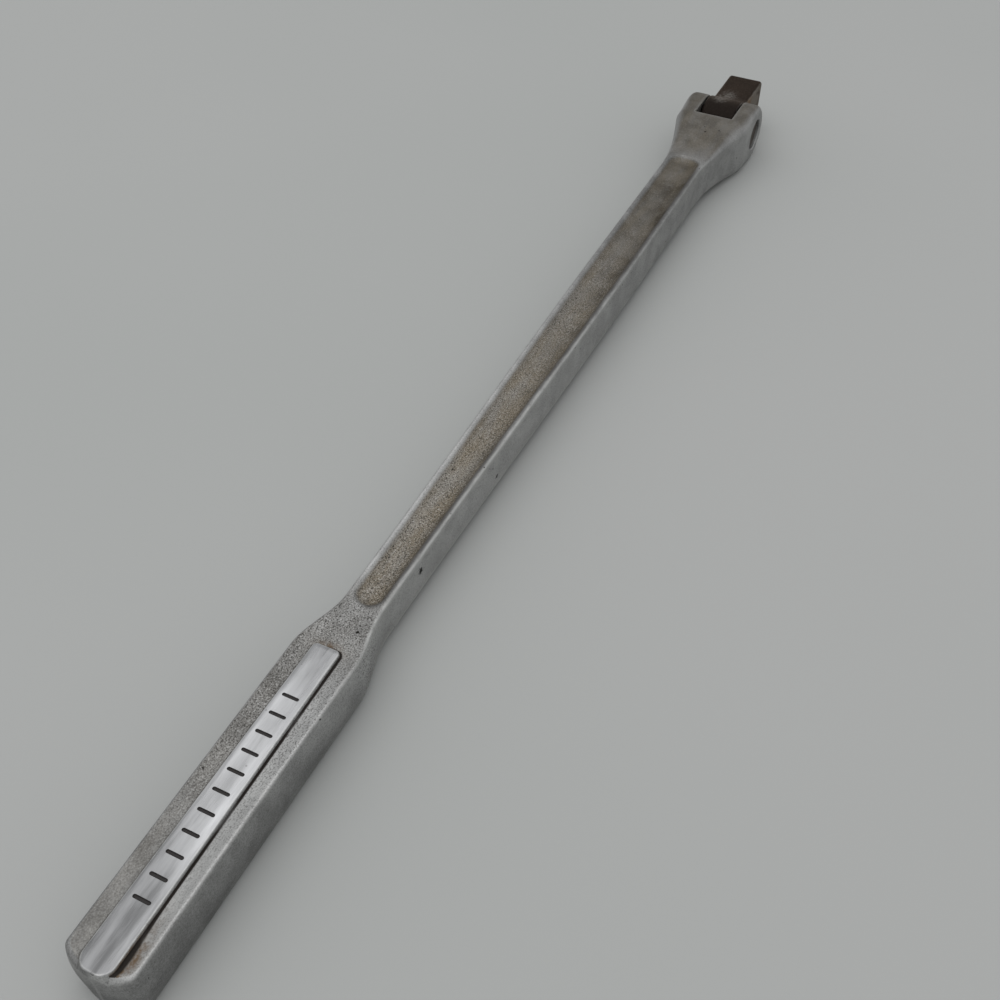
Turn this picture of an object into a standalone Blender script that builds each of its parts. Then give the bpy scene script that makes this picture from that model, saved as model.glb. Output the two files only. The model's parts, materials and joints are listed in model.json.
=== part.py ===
"""Breaker bar with a half-inch square drive that swings in the fork of a forged handle.

The handle is modelled along +X from the butt of the grip, level about its own mid-plane.
A frame empty then lays it down as it lies on a bench: on the grip's lower panel and the yoke.
"""

import math

import bmesh
import bpy
from mathutils import Vector

# Grip, measured from the butt
GRIP_LENGTH = 0.0778
GRIP_BUTT_WIDTH = 0.0176
GRIP_SHOULDER_WIDTH = 0.0183
GRIP_THICKNESS = 0.0138
GRIP_SIDE_CROWN = 0.0008
GRIP_EDGE_RADIUS = 0.0010
BUTT_ROUND_LENGTH = 0.0038
BUTT_SIDE_DROP = 0.0044

# Raised panel and the shallow trough around it
PANEL_START = 0.0005
PANEL_OVERRUN = 0.0026
PANEL_BUTT_WIDTH = 0.0076
PANEL_SHOULDER_WIDTH = 0.0068
PANEL_HEIGHT = 0.00116
PANEL_BUTT_CORNER = 0.0026
PANEL_SHOULDER_CORNER = 0.0009
PANEL_EDGE_RADIUS = 0.0003
TROUGH_START = 0.0009
TROUGH_BUTT_CORNER = 0.0016
TROUGH_RIM = 0.0006
TROUGH_FILLET = 0.0080
TROUGH_RUN_OUT = 0.0004

# Shoulder and I-beam shank
SHOULDER_LENGTH = 0.0182
SHANK_GRIP_WIDTH = 0.0109
SHANK_HEAD_WIDTH = 0.0140
SHANK_GRIP_THICKNESS = 0.0114
SHANK_HEAD_THICKNESS = 0.0136
SHANK_SIDE_CROWN = 0.0003
SHANK_EDGE_RADIUS = 0.0008
SHANK_SWELL_LENGTH = 0.1500
GROOVE_LEAD = 0.0011
GROOVE_LAND = 0.0012
GROOVE_DEPTH = 0.0017
GROOVE_FILLET = 0.0040
GROOVE_HEAD_CORNER = 0.0006

# Yoke, with its flare in width, its rise in height and the groove's end measured back from the pivot
PIVOT_X = 0.3497
YOKE_WIDTH = 0.0265
YOKE_THICKNESS = 0.0200
YOKE_EDGE_RADIUS = 0.0044
EAR_EDGE_RADIUS = 0.0024
FLARE_FROM_PIVOT = 0.0440
FLARE_LENGTH = 0.0320
FLARE_POWER = 1.6
RISE_FROM_PIVOT = 0.0383
RISE_LENGTH = 0.0265
GROOVE_FROM_PIVOT = 0.0368

# Drive head
TANG_SQUARE = 0.0127
TANG_REACH = 0.0287
TANG_TIP_RADIUS = 0.0014
HEAD_EDGE_RADIUS = 0.0010
TONGUE_RADIUS = 0.0100
TONGUE_FILLET = 0.0105
TONGUE_SIDE_CLEARANCE = 0.0003
TONGUE_END_CLEARANCE = 0.0011

# Cross pin
PIN_DIAMETER = 0.0100
PIN_CLEARANCE = 0.0003
PIN_RECESS = 0.0009
PIN_CHAMFER = 0.0006

# Socket detent, in the underside of the tang
DETENT_FROM_TIP = 0.0090
BALL_DIAMETER = 0.0055
BALL_PROUD = 0.0012
BALL_BORE_CLEARANCE = 0.0003
DETENT_BORE_DEPTH = 0.0096
DETENT_LIP = 0.0005
DETENT_LIP_OVERHANG = 0.00012
DETENT_WIRE = 0.0006
DETENT_TURNS = 3

# Friction plunger, in the bottom of the fork's slot
PLUNGER_DIAMETER = 0.0054
PLUNGER_LENGTH = 0.0060
PLUNGER_CLEARANCE = 0.0003
PLUNGER_GAP = 0.0003
PLUNGER_DOME = 0.0009
PLUNGER_BORE_DEPTH = 0.0154
FRICTION_WIRE = 0.0008
FRICTION_TURNS = 6

SPRING_END_GAP = 0.0003
SPRING_WALL_GAP = 0.0003

# Fineness of round forms
ARC_STEPS = 5
ROUND_STEPS = 32
COIL_STEPS = 10
BUTT_STEPS = 6
SHOULDER_STEPS = 9
SWELL_STEPS = 6
FLARE_STEPS = 9
EAR_STEP = 12
EAR_LAST_TURN = 84
BALL_STEPS = 20
BEVEL_STEPS = 2
HOLLOW_STEPS = 6
SHARP_ANGLE = 35
BEVEL_ANGLE = 40
SIDE_SHARES = (0.5, 1.0)
CROWN_SHARES = (0.35, 1.0)
WELD_DISTANCE = 0.000001

# Largest share of a section's half height, half width or half opening that a rounding may take
HEIGHT_SHARE = 0.8
WIDTH_SHARE = 0.6
CROWN_SHARE = 0.3
CORNER_SHARE = 0.9

# Least share of the bar's half width that the floor of a hollow keeps
FLOOR_SHARE = 0.1

# How far cutters reach past the surface they cut
CUT_MARGIN = 0.0040

# Worked out from the sizes above
SHOULDER_END = GRIP_LENGTH + SHOULDER_LENGTH
PANEL_END = GRIP_LENGTH + PANEL_OVERRUN
FLARE_START = PIVOT_X - FLARE_FROM_PIVOT
RISE_START = PIVOT_X - RISE_FROM_PIVOT
GROOVE_START = SHOULDER_END - GROOVE_LEAD
GROOVE_END = PIVOT_X - GROOVE_FROM_PIVOT
SLOT_BOTTOM = PIVOT_X - TONGUE_RADIUS - TONGUE_END_CLEARANCE
SLOT_WIDTH = TANG_SQUARE + 2 * TONGUE_SIDE_CLEARANCE
EAR_RADIUS = YOKE_THICKNESS / 2
TROUGH_FLOOR = SHANK_GRIP_THICKNESS / 2 + TROUGH_RUN_OUT
TROUGH_DEPTH = GRIP_THICKNESS / 2 - TROUGH_FLOOR
PANEL_TOP = TROUGH_FLOOR + PANEL_HEIGHT
TANG_HALF = TANG_SQUARE / 2
PIN_BORE_RADIUS = PIN_DIAMETER / 2 + PIN_CLEARANCE

STEEL = {"color": (0.36, 0.36, 0.35, 1.0), "roughness": 0.42, "metallic": 1.0}
DARK_STEEL = {"color": (0.045, 0.036, 0.031, 1.0), "roughness": 0.50, "metallic": 0.8}
PIN_STEEL = {"color": (0.070, 0.056, 0.046, 1.0), "roughness": 0.55, "metallic": 0.8}
BALL_STEEL = {"color": (0.45, 0.45, 0.44, 1.0), "roughness": 0.25, "metallic": 1.0}
SPRING_STEEL = {"color": (0.20, 0.20, 0.21, 1.0), "roughness": 0.35, "metallic": 1.0}


def clear_scene():
    for item in list(bpy.data.objects):
        bpy.data.objects.remove(item, do_unlink=True)


def new_collection(name):
    collection = bpy.data.collections.new(name)
    bpy.context.scene.collection.children.link(collection)
    return collection


def make_material(name, look):
    material = bpy.data.materials.new(name)
    material.use_nodes = True
    shader = material.node_tree.nodes["Principled BSDF"]
    shader.inputs["Base Color"].default_value = look["color"]
    shader.inputs["Roughness"].default_value = look["roughness"]
    shader.inputs["Metallic"].default_value = look["metallic"]
    return material


def add_empty(name, collection, parent=None, location=(0, 0, 0)):
    empty = bpy.data.objects.new(name, None)
    collection.objects.link(empty)
    empty.parent = parent
    empty.location = location
    return empty


def place(item, parent, location=(0, 0, 0), rotation=(0, 0, 0)):
    item.parent = parent
    item.location = location
    item.rotation_euler = rotation
    return item


def finish_part(item, look):
    """Give a part its own material and smooth shading with real edges kept."""
    item.data.materials.append(make_material(item.name + "_finish", look))
    if item.type == "MESH":
        item.data.shade_smooth()
        item.data.set_sharp_from_angle(angle=math.radians(SHARP_ANGLE))
    return item


def make_cutter(item):
    item.hide_render = True
    item.display_type = "WIRE"
    return item


def cut(item, tool, operation="DIFFERENCE"):
    modifier = item.modifiers.new(operation.lower() + "_" + tool.name, "BOOLEAN")
    modifier.operation = operation
    modifier.solver = "EXACT"
    modifier.object = tool


def mesh_object(name, build, collection):
    """Make an object from a function that fills a bmesh."""
    mesh = bmesh.new()
    build(mesh)
    data = bpy.data.meshes.new(name)
    mesh.to_mesh(data)
    mesh.free()
    item = bpy.data.objects.new(name, data)
    collection.objects.link(item)
    return item


def loft(name, sections, collection):
    """Skin a run of sections that have the same number of points, with flat ends."""

    def build(mesh):
        rings = [[mesh.verts.new(point) for point in section] for section in sections]
        for ring, following in zip(rings, rings[1:]):
            for index, corner in enumerate(ring):
                after = (index + 1) % len(ring)
                mesh.faces.new((corner, ring[after], following[after], following[index]))
        mesh.faces.new(rings[0])
        mesh.faces.new(rings[-1])
        bmesh.ops.recalc_face_normals(mesh, faces=mesh.faces)

    return mesh_object(name, build, collection)


def cylinder(name, radius, length, collection):
    """A closed cylinder about its own Z axis."""

    def build(mesh):
        bmesh.ops.create_cone(mesh, cap_ends=True, segments=ROUND_STEPS, radius1=radius,
                              radius2=radius, depth=length)

    return mesh_object(name, build, collection)


def box(name, size, collection):
    def build(mesh):
        bmesh.ops.create_cube(mesh, size=1.0)
        bmesh.ops.scale(mesh, vec=size, verts=mesh.verts)

    return mesh_object(name, build, collection)


def turned(name, profile, collection):
    """Turn a profile of (radius, height) points about Z; it runs from the top to the bottom."""

    def build(mesh):
        points = [mesh.verts.new((radius, 0, height)) for radius, height in profile]
        for start, end in zip(points, points[1:]):
            mesh.edges.new((start, end))

    item = mesh_object(name, build, collection)
    screw = item.modifiers.new("turn", "SCREW")
    screw.axis = "Z"
    screw.steps = ROUND_STEPS
    screw.render_steps = ROUND_STEPS
    screw.use_merge_vertices = True
    screw.merge_threshold = WELD_DISTANCE
    return item


def arc(center, radius, start, end, steps=ARC_STEPS):
    """Points along an arc, with both angles in degrees."""
    angles = [math.radians(start + (end - start) * step / steps) for step in range(steps + 1)]
    return [(center[0] + radius * math.cos(a), center[1] + radius * math.sin(a)) for a in angles]


def plate(name, outline, thickness, collection, edge_radius=0.0, edge_steps=BEVEL_STEPS):
    """A flat outline made solid about its own XY plane; its edges may roll out past the outline."""
    curve = bpy.data.curves.new(name + "_outline", "CURVE")
    curve.dimensions = "2D"
    curve.fill_mode = "BOTH"
    curve.extrude = thickness / 2 - edge_radius
    curve.bevel_depth = edge_radius
    curve.bevel_resolution = edge_steps
    spline = curve.splines.new("POLY")
    spline.points.add(len(outline) - 1)
    for point, (x, y) in zip(spline.points, outline):
        point.co = (x, y, 0, 1)
    spline.use_cyclic_u = True
    drawing = bpy.data.objects.new(name + "_drawing", curve)
    collection.objects.link(drawing)
    bpy.context.view_layer.update()
    evaluated = drawing.evaluated_get(bpy.context.evaluated_depsgraph_get())
    data = bpy.data.meshes.new_from_object(evaluated)
    bpy.data.objects.remove(drawing, do_unlink=True)

    mesh = bmesh.new()
    mesh.from_mesh(data)
    bmesh.ops.remove_doubles(mesh, verts=mesh.verts, dist=WELD_DISTANCE)
    bmesh.ops.recalc_face_normals(mesh, faces=mesh.faces)
    mesh.to_mesh(data)
    mesh.free()
    data.name = name
    item = bpy.data.objects.new(name, data)
    collection.objects.link(item)
    return item


def coil_spring(name, wire, radius, length, turns, collection):
    """An open coil about Z from height 0 to its length, drawn as one unbroken tube."""
    rise = length - wire
    steps = turns * COIL_STEPS
    points = []
    for step in range(steps + 1):
        angle = 2 * math.pi * step / COIL_STEPS
        height = wire / 2 + rise * step / steps
        points.append(Vector((radius * math.cos(angle), radius * math.sin(angle), height)))

    curve = bpy.data.curves.new(name, "CURVE")
    curve.dimensions = "3D"
    curve.bevel_depth = wire / 2
    curve.bevel_resolution = 1
    curve.use_fill_caps = True
    spline = curve.splines.new("POLY")
    spline.points.add(steps)
    for point, position in zip(spline.points, points):
        point.co = (*position, 1)
    item = bpy.data.objects.new(name, curve)
    collection.objects.link(item)

    apart = COIL_STEPS // 2
    distances = [(points[i] - points[j]).length for i in range(steps) for j in range(i + apart, steps)]
    print(name, "least gap between turns in mm:", round((min(distances) - wire) * 1000, 3))
    return item


def ease(value, start, length):
    """Smooth step from 0 to 1 over a stretch of the bar."""
    share = min(max((value - start) / length, 0.0), 1.0)
    return share * share * (3 - 2 * share)


def share_along(value, start, end):
    return min(max((value - start) / (end - start), 0.0), 1.0)


def mix(low, high, share):
    return low + (high - low) * share


def butt_share(x):
    """1 at the very end of the butt, falling to 0 where its rounding ends."""
    return max(1 - x / BUTT_ROUND_LENGTH, 0.0)


def flare_share(x):
    """Share of the way from the shank's width to the yoke's, in a hollow curve up to the ears' flats."""
    return share_along(x, FLARE_START, FLARE_START + FLARE_LENGTH) ** FLARE_POWER


def half_width(x):
    grip = mix(GRIP_BUTT_WIDTH, GRIP_SHOULDER_WIDTH, share_along(x, 0, GRIP_LENGTH)) / 2
    shank = mix(SHANK_GRIP_WIDTH, SHANK_HEAD_WIDTH, ease(x, SHOULDER_END, SHANK_SWELL_LENGTH)) / 2
    body = mix(grip, shank, ease(x, GRIP_LENGTH, SHOULDER_LENGTH))
    body = mix(body, YOKE_WIDTH / 2, flare_share(x))
    return body * math.sqrt(1 - butt_share(x) ** 2)


def shank_half_thickness(x):
    share = share_along(x, SHOULDER_END, RISE_START)
    return mix(SHANK_GRIP_THICKNESS, SHANK_HEAD_THICKNESS, share) / 2


def half_thickness(x):
    body = mix(GRIP_THICKNESS / 2, shank_half_thickness(x), ease(x, GRIP_LENGTH, SHOULDER_LENGTH))
    body = mix(body, EAR_RADIUS, ease(x, RISE_START, RISE_LENGTH))
    if x > PIVOT_X:
        body = math.sqrt(EAR_RADIUS ** 2 - (x - PIVOT_X) ** 2)
    return body - BUTT_SIDE_DROP * (1 - math.sqrt(1 - butt_share(x) ** 2))


def side_crown(x):
    crown = mix(GRIP_SIDE_CROWN, SHANK_SIDE_CROWN, ease(x, GRIP_LENGTH, SHOULDER_LENGTH))
    crown = mix(crown, 0.0, ease(x, FLARE_START, FLARE_LENGTH))
    return min(crown, CROWN_SHARE * half_width(x))


def edge_radius(x):
    radius = mix(GRIP_EDGE_RADIUS, SHANK_EDGE_RADIUS, ease(x, GRIP_LENGTH, SHOULDER_LENGTH))
    radius = mix(radius, YOKE_EDGE_RADIUS, ease(x, FLARE_START, FLARE_LENGTH))
    radius = mix(radius, EAR_EDGE_RADIUS, ease(x, PIVOT_X - EAR_RADIUS, EAR_RADIUS))
    return min(radius, HEIGHT_SHARE * half_thickness(x), WIDTH_SHARE * half_width(x))


def handle_section(x):
    """One cross-section of the forging: crowned sides, rounded edges, flat top and underside."""
    width, thickness, crown, radius = half_width(x), half_thickness(x), side_crown(x), edge_radius(x)
    straight = thickness - radius
    side = [(width, 0.0)]
    side += [(width - crown * share ** 2, straight * share) for share in SIDE_SHARES]
    corner = arc((width - crown - radius, straight), radius, 0, 90)[1:]
    quarter = side + corner + [(0.0, thickness)]
    left = [(-y, z) for y, z in reversed(quarter[:-1])]
    upper = quarter + left
    lower = [(y, -z) for y, z in reversed(upper[1:-1])]
    return [(x, y, z) for y, z in upper + lower]


def even_steps(start, length, count):
    return [start + length * step / count for step in range(count + 1)]


def handle_stations():
    """Places along the bar where its section changes, closer together where it curves."""
    turns = even_steps(0, 90, BUTT_STEPS + 1)[1:]
    butt = [BUTT_ROUND_LENGTH * (1 - math.cos(math.radians(turn))) for turn in turns]
    shoulder = even_steps(GRIP_LENGTH, SHOULDER_LENGTH, SHOULDER_STEPS)
    shank = even_steps(SHOULDER_END, SHANK_SWELL_LENGTH, SWELL_STEPS)[1:] + [RISE_START]
    flare = even_steps(FLARE_START, FLARE_LENGTH, FLARE_STEPS)
    crown = [mix(FLARE_START + FLARE_LENGTH, PIVOT_X, share) for share in CROWN_SHARES]
    turns = range(EAR_STEP, EAR_LAST_TURN + 1, EAR_STEP)
    ears = [PIVOT_X + EAR_RADIUS * math.sin(math.radians(turn)) for turn in turns]
    return sorted(set(butt + [GRIP_LENGTH / 2] + shoulder + shank + flare + crown + ears))


def wall_run(depth, radius):
    """How far the rounded wall of a hollow reaches in from its edge to its flat floor."""
    return math.sqrt(radius ** 2 - (radius - min(depth, radius)) ** 2)


def groove_half_width(x):
    """Half the groove's opening, which leaves an even land on each side."""
    return half_width(x) - side_crown(x) - GROOVE_LAND


def groove_fillet():
    """The radius of the groove's walls, no larger than its narrow end has room for."""
    room = CORNER_SHARE * groove_half_width(SHOULDER_END)
    return min(GROOVE_FILLET, (room ** 2 + GROOVE_DEPTH ** 2) / (2 * GROOVE_DEPTH))


def groove_floor_outline():
    """The groove's flat floor in plan: a round end by the grip and a squarer one by the yoke."""
    run = wall_run(GROOVE_DEPTH, groove_fillet())
    near_radius = groove_half_width(SHOULDER_END) - run
    far_half = groove_half_width(FLARE_START) - run
    corner = min(GROOVE_HEAD_CORNER, CORNER_SHARE * far_half)
    near_center = GROOVE_START + run + near_radius
    far_center = GROOVE_END - run - corner
    outline = arc((far_center, -far_half + corner), corner, 270, 360)
    outline += arc((far_center, far_half - corner), corner, 0, 90)
    return outline + arc((near_center, 0), near_radius, 90, 270, 2 * ARC_STEPS)


def panel_outline():
    """The flat top of the panel in plan: it tapers towards the shoulder, with rounder butt corners."""
    start = PANEL_START + PANEL_EDGE_RADIUS
    end = PANEL_END - PANEL_EDGE_RADIUS
    start_half = PANEL_BUTT_WIDTH / 2 - PANEL_EDGE_RADIUS
    end_half = PANEL_SHOULDER_WIDTH / 2 - PANEL_EDGE_RADIUS
    near, far = PANEL_BUTT_CORNER, PANEL_SHOULDER_CORNER
    outline = arc((end - far, far - end_half), far, 270, 360)
    outline += arc((end - far, end_half - far), far, 0, 90)
    outline += arc((start + near, start_half - near), near, 90, 180)
    return outline + arc((start + near, near - start_half), near, 180, 270)


def trough_floor_outline():
    """The trough in plan, inside the grip's rim; it runs out where the shoulder drops to it."""
    run = wall_run(TROUGH_DEPTH, TROUGH_FILLET)
    inset = GRIP_SIDE_CROWN + TROUGH_RIM + run
    start = TROUGH_START + run
    start_half = max(GRIP_BUTT_WIDTH / 2 - inset, FLOOR_SHARE * GRIP_BUTT_WIDTH / 2)
    corner = min(TROUGH_BUTT_CORNER, CORNER_SHARE * start_half)
    near = arc((start + corner, start_half - corner), corner, 180, 90)
    bends = even_steps(GRIP_LENGTH, SHOULDER_LENGTH, SHOULDER_STEPS)
    side = near + [(x, max(half_width(x) - inset, FLOOR_SHARE * half_width(x))) for x in bends]
    return side + [(x, -y) for x, y in reversed(side)]


def head_outline():
    """The drive head from the side: a round tongue that blends into the square tang."""
    reach = TONGUE_RADIUS + TONGUE_FILLET
    rise = TANG_HALF + TONGUE_FILLET
    blend_x = math.sqrt(reach ** 2 - rise ** 2)
    blend_angle = math.degrees(math.atan2(rise, blend_x))
    corner = TANG_TIP_RADIUS
    upper = arc((TANG_REACH - corner, TANG_HALF - corner), corner, 0, 90)
    upper += arc((blend_x, rise), TONGUE_FILLET, 270, 180 + blend_angle)
    tongue = arc((0, 0), TONGUE_RADIUS, blend_angle, 360 - blend_angle, 6 * ARC_STEPS)[1:-1]
    return upper + tongue + [(x, -z) for x, z in reversed(upper)]


def domed_plug(radius, length, dome):
    """Profile of a plug from its domed top to its flat bottom, with the top at height 0."""
    sphere = (radius ** 2 + dome ** 2) / (2 * dome)
    reach = math.asin(min(radius / sphere, 1.0))
    steps = range(ARC_STEPS + 1)
    angles = [reach * step / ARC_STEPS for step in steps]
    top = [(sphere * math.sin(a), sphere * (math.cos(a) - 1)) for a in angles]
    return top + [(radius, -length), (0, -length)]


def build_handle(frame, parts, cutters):
    handle = loft("handle", [handle_section(x) for x in handle_stations()], parts)
    place(handle, frame)

    rise = shank_half_thickness(GROOVE_END) - shank_half_thickness(GROOVE_START)
    groove_angle = math.atan2(rise, GROOVE_END - GROOVE_START)
    groove_height = 2 * (GROOVE_DEPTH + groove_fillet())
    trough_height = 2 * (TROUGH_DEPTH + TROUGH_FILLET)
    groove_level = shank_half_thickness(GROOVE_START) - math.tan(groove_angle) * GROOVE_START
    for face, side in (("top", 1), ("underside", -1)):
        trough = plate("trough_" + face, trough_floor_outline(), trough_height, cutters,
                       TROUGH_FILLET, HOLLOW_STEPS)
        place(make_cutter(trough), frame, (0, 0, side * (TROUGH_FLOOR + trough_height / 2)))
        cut(handle, trough)

        panel = plate("panel_" + face, panel_outline(), CUT_MARGIN, cutters, PANEL_EDGE_RADIUS)
        place(make_cutter(panel), frame, (0, 0, side * (PANEL_TOP - CUT_MARGIN / 2)))
        cut(handle, panel, "UNION")

        groove = plate("groove_" + face, groove_floor_outline(), groove_height, cutters,
                       groove_fillet(), HOLLOW_STEPS)
        center = groove_level - GROOVE_DEPTH + groove_height / 2
        place(make_cutter(groove), frame, (0, 0, side * center), (0, -side * groove_angle, 0))
        cut(handle, groove)

    slot_length = PIVOT_X + EAR_RADIUS + CUT_MARGIN - SLOT_BOTTOM
    slot = box("fork_slot", (slot_length, SLOT_WIDTH, YOKE_THICKNESS + 2 * CUT_MARGIN), cutters)
    place(make_cutter(slot), frame, (SLOT_BOTTOM + slot_length / 2, 0, 0))
    cut(handle, slot)

    bore_radius = PLUNGER_DIAMETER / 2 + PLUNGER_CLEARANCE
    bore = cylinder("plunger_bore", bore_radius, PLUNGER_BORE_DEPTH + CUT_MARGIN, cutters)
    bore_middle = SLOT_BOTTOM + (CUT_MARGIN - PLUNGER_BORE_DEPTH) / 2
    place(make_cutter(bore), frame, (bore_middle, 0, 0), (0, math.pi / 2, 0))
    cut(handle, bore)

    pin_bore = cylinder("ear_pin_bore", PIN_BORE_RADIUS, YOKE_WIDTH + CUT_MARGIN, cutters)
    place(make_cutter(pin_bore), frame, (PIVOT_X, 0, 0), (math.pi / 2, 0, 0))
    cut(handle, pin_bore)
    return finish_part(handle, STEEL)


def build_pin(frame, parts):
    half = YOKE_WIDTH / 2 - PIN_RECESS
    radius = PIN_DIAMETER / 2
    profile = [(0, half), (radius - PIN_CHAMFER, half), (radius, half - PIN_CHAMFER)]
    profile += [(r, -z) for r, z in reversed(profile)]
    pin = place(turned("pivot_pin", profile, parts), frame, (PIVOT_X, 0, 0), (math.pi / 2, 0, 0))
    return finish_part(pin, PIN_STEEL)


def build_plunger(frame, parts):
    """Plunger and spring lie along the bar; the plunger's domed end faces the tongue."""
    tip = PIVOT_X - TONGUE_RADIUS - PLUNGER_GAP
    profile = domed_plug(PLUNGER_DIAMETER / 2, PLUNGER_LENGTH, PLUNGER_DOME)
    plunger = turned("friction_plunger", profile, parts)
    place(plunger, frame, (tip, 0, 0), (0, math.pi / 2, 0))
    finish_part(plunger, BALL_STEEL)

    bottom = SLOT_BOTTOM - PLUNGER_BORE_DEPTH + SPRING_END_GAP
    length = tip - PLUNGER_LENGTH - SPRING_END_GAP - bottom
    radius = PLUNGER_DIAMETER / 2 + PLUNGER_CLEARANCE - SPRING_WALL_GAP - FRICTION_WIRE / 2
    spring = coil_spring("friction_spring", FRICTION_WIRE, radius, length, FRICTION_TURNS, parts)
    place(spring, frame, (bottom, 0, 0), (0, math.pi / 2, 0))
    finish_part(spring, SPRING_STEEL)


def build_drive_head(pivot, parts, cutters):
    head = plate("drive_head", head_outline(), TANG_SQUARE, parts)
    place(head, pivot, rotation=(math.pi / 2, 0, 0))
    bevel = head.modifiers.new("edges", "BEVEL")
    bevel.width = HEAD_EDGE_RADIUS
    bevel.segments = BEVEL_STEPS
    bevel.limit_method = "ANGLE"
    bevel.angle_limit = math.radians(BEVEL_ANGLE)

    pin_bore = cylinder("tongue_pin_bore", PIN_BORE_RADIUS, TANG_SQUARE + CUT_MARGIN, cutters)
    place(make_cutter(pin_bore), pivot, rotation=(math.pi / 2, 0, 0))
    cut(head, pin_bore)

    bore = BALL_DIAMETER / 2 + BALL_BORE_CLEARANCE
    mouth = BALL_DIAMETER / 2 - DETENT_LIP_OVERHANG
    profile = [(0, DETENT_BORE_DEPTH), (bore, DETENT_BORE_DEPTH), (bore, DETENT_LIP), (mouth, DETENT_LIP)]
    profile += [(mouth, -CUT_MARGIN), (0, -CUT_MARGIN)]
    detent = place(turned("detent_bore", profile, cutters), pivot, (detent_x(), 0, -TANG_HALF))
    cut(head, make_cutter(detent))
    return finish_part(head, DARK_STEEL)


def detent_x():
    """The detent's distance from the pivot along the tang."""
    return TANG_REACH - DETENT_FROM_TIP


def build_detent(pivot, parts):
    def ball_mesh(mesh):
        bmesh.ops.create_uvsphere(mesh, u_segments=BALL_STEPS, v_segments=BALL_STEPS // 2,
                                  radius=BALL_DIAMETER / 2)

    center = BALL_DIAMETER / 2 - BALL_PROUD
    ball = mesh_object("socket_detent_ball", ball_mesh, parts)
    place(ball, pivot, (detent_x(), 0, center - TANG_HALF))
    finish_part(ball, BALL_STEEL)

    start = center + BALL_DIAMETER / 2 + SPRING_END_GAP
    length = DETENT_BORE_DEPTH - SPRING_END_GAP - start
    radius = BALL_DIAMETER / 2 + BALL_BORE_CLEARANCE - SPRING_WALL_GAP - DETENT_WIRE / 2
    spring = coil_spring("socket_detent_spring", DETENT_WIRE, radius, length, DETENT_TURNS, parts)
    place(spring, pivot, (detent_x(), 0, start - TANG_HALF))
    finish_part(spring, SPRING_STEEL)


def lay_down(frame, parts):
    """Tip the bar onto its lower panel and yoke, then centre it over the origin."""
    drop = EAR_RADIUS - PANEL_TOP
    frame.rotation_euler.y = -math.atan2(drop, PIVOT_X - PANEL_START)
    bpy.context.view_layer.update()
    depsgraph = bpy.context.evaluated_depsgraph_get()
    corners = []
    for item in parts.objects:
        if item.type == "EMPTY":
            continue
        solid = item.evaluated_get(depsgraph)
        mesh = solid.to_mesh()
        corners += [solid.matrix_world @ vertex.co for vertex in mesh.vertices]
        solid.to_mesh_clear()
    low = Vector([min(corner[axis] for corner in corners) for axis in range(3)])
    high = Vector([max(corner[axis] for corner in corners) for axis in range(3)])
    frame.location -= Vector(((low.x + high.x) / 2, (low.y + high.y) / 2, low.z))
    bpy.context.view_layer.update()


def main():
    clear_scene()
    parts = new_collection("breaker_bar")
    cutters = new_collection("cutters")
    frame = add_empty("bar_frame", parts)
    pivot = add_empty("head_pivot", parts, frame, (PIVOT_X, 0, 0))
    build_handle(frame, parts, cutters)
    build_pin(frame, parts)
    build_plunger(frame, parts)
    build_drive_head(pivot, parts, cutters)
    build_detent(pivot, parts)
    lay_down(frame, parts)


main()
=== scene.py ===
"""Looks of the breaker bar: a smooth forged handle with a polished panel, a dark drive head and its pin."""

import json
import math

import bmesh
import bpy
import numpy as np
from mathutils import Matrix, Vector


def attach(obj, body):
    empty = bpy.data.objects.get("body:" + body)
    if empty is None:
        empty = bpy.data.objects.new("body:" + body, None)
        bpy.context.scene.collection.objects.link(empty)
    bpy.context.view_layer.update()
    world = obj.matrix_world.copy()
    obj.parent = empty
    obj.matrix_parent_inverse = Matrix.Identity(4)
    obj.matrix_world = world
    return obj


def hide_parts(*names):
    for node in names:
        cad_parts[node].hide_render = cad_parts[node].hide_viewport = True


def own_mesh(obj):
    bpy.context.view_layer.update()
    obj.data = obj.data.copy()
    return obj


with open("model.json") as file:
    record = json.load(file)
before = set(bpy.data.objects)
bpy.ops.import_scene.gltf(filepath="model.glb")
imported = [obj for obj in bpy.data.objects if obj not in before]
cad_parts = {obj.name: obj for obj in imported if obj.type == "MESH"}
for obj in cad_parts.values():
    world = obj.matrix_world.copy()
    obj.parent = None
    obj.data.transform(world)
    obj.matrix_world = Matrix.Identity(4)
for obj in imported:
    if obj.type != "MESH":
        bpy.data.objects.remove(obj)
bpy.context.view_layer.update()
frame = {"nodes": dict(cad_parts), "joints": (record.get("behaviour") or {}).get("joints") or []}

# The bar's own frame: X along the bar from its butt, Y across it, Z up through its face
joints = {joint["name"]: joint for joint in frame["joints"]}
PIVOT = Vector(joints["head_pivot"]["pos_m"])
ALONG = Vector(joints["friction_plunger_slide"]["axis"]).normalized()
ACROSS = Vector((0, 1, 0))
UP = ALONG.cross(ACROSS)

# Grip
PIVOT_X = 0.3497
GRIP_LENGTH = 0.0778
GRIP_BUTT_WIDTH = 0.0176
GRIP_SHOULDER_WIDTH = 0.0183
GRIP_THICKNESS = 0.0138
GRIP_SIDE_CROWN = 0.0008
GRIP_EDGE_RADIUS = 0.001
BUTT_ROUND_LENGTH = 0.0038
BUTT_SIDE_DROP = 0.0044

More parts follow.
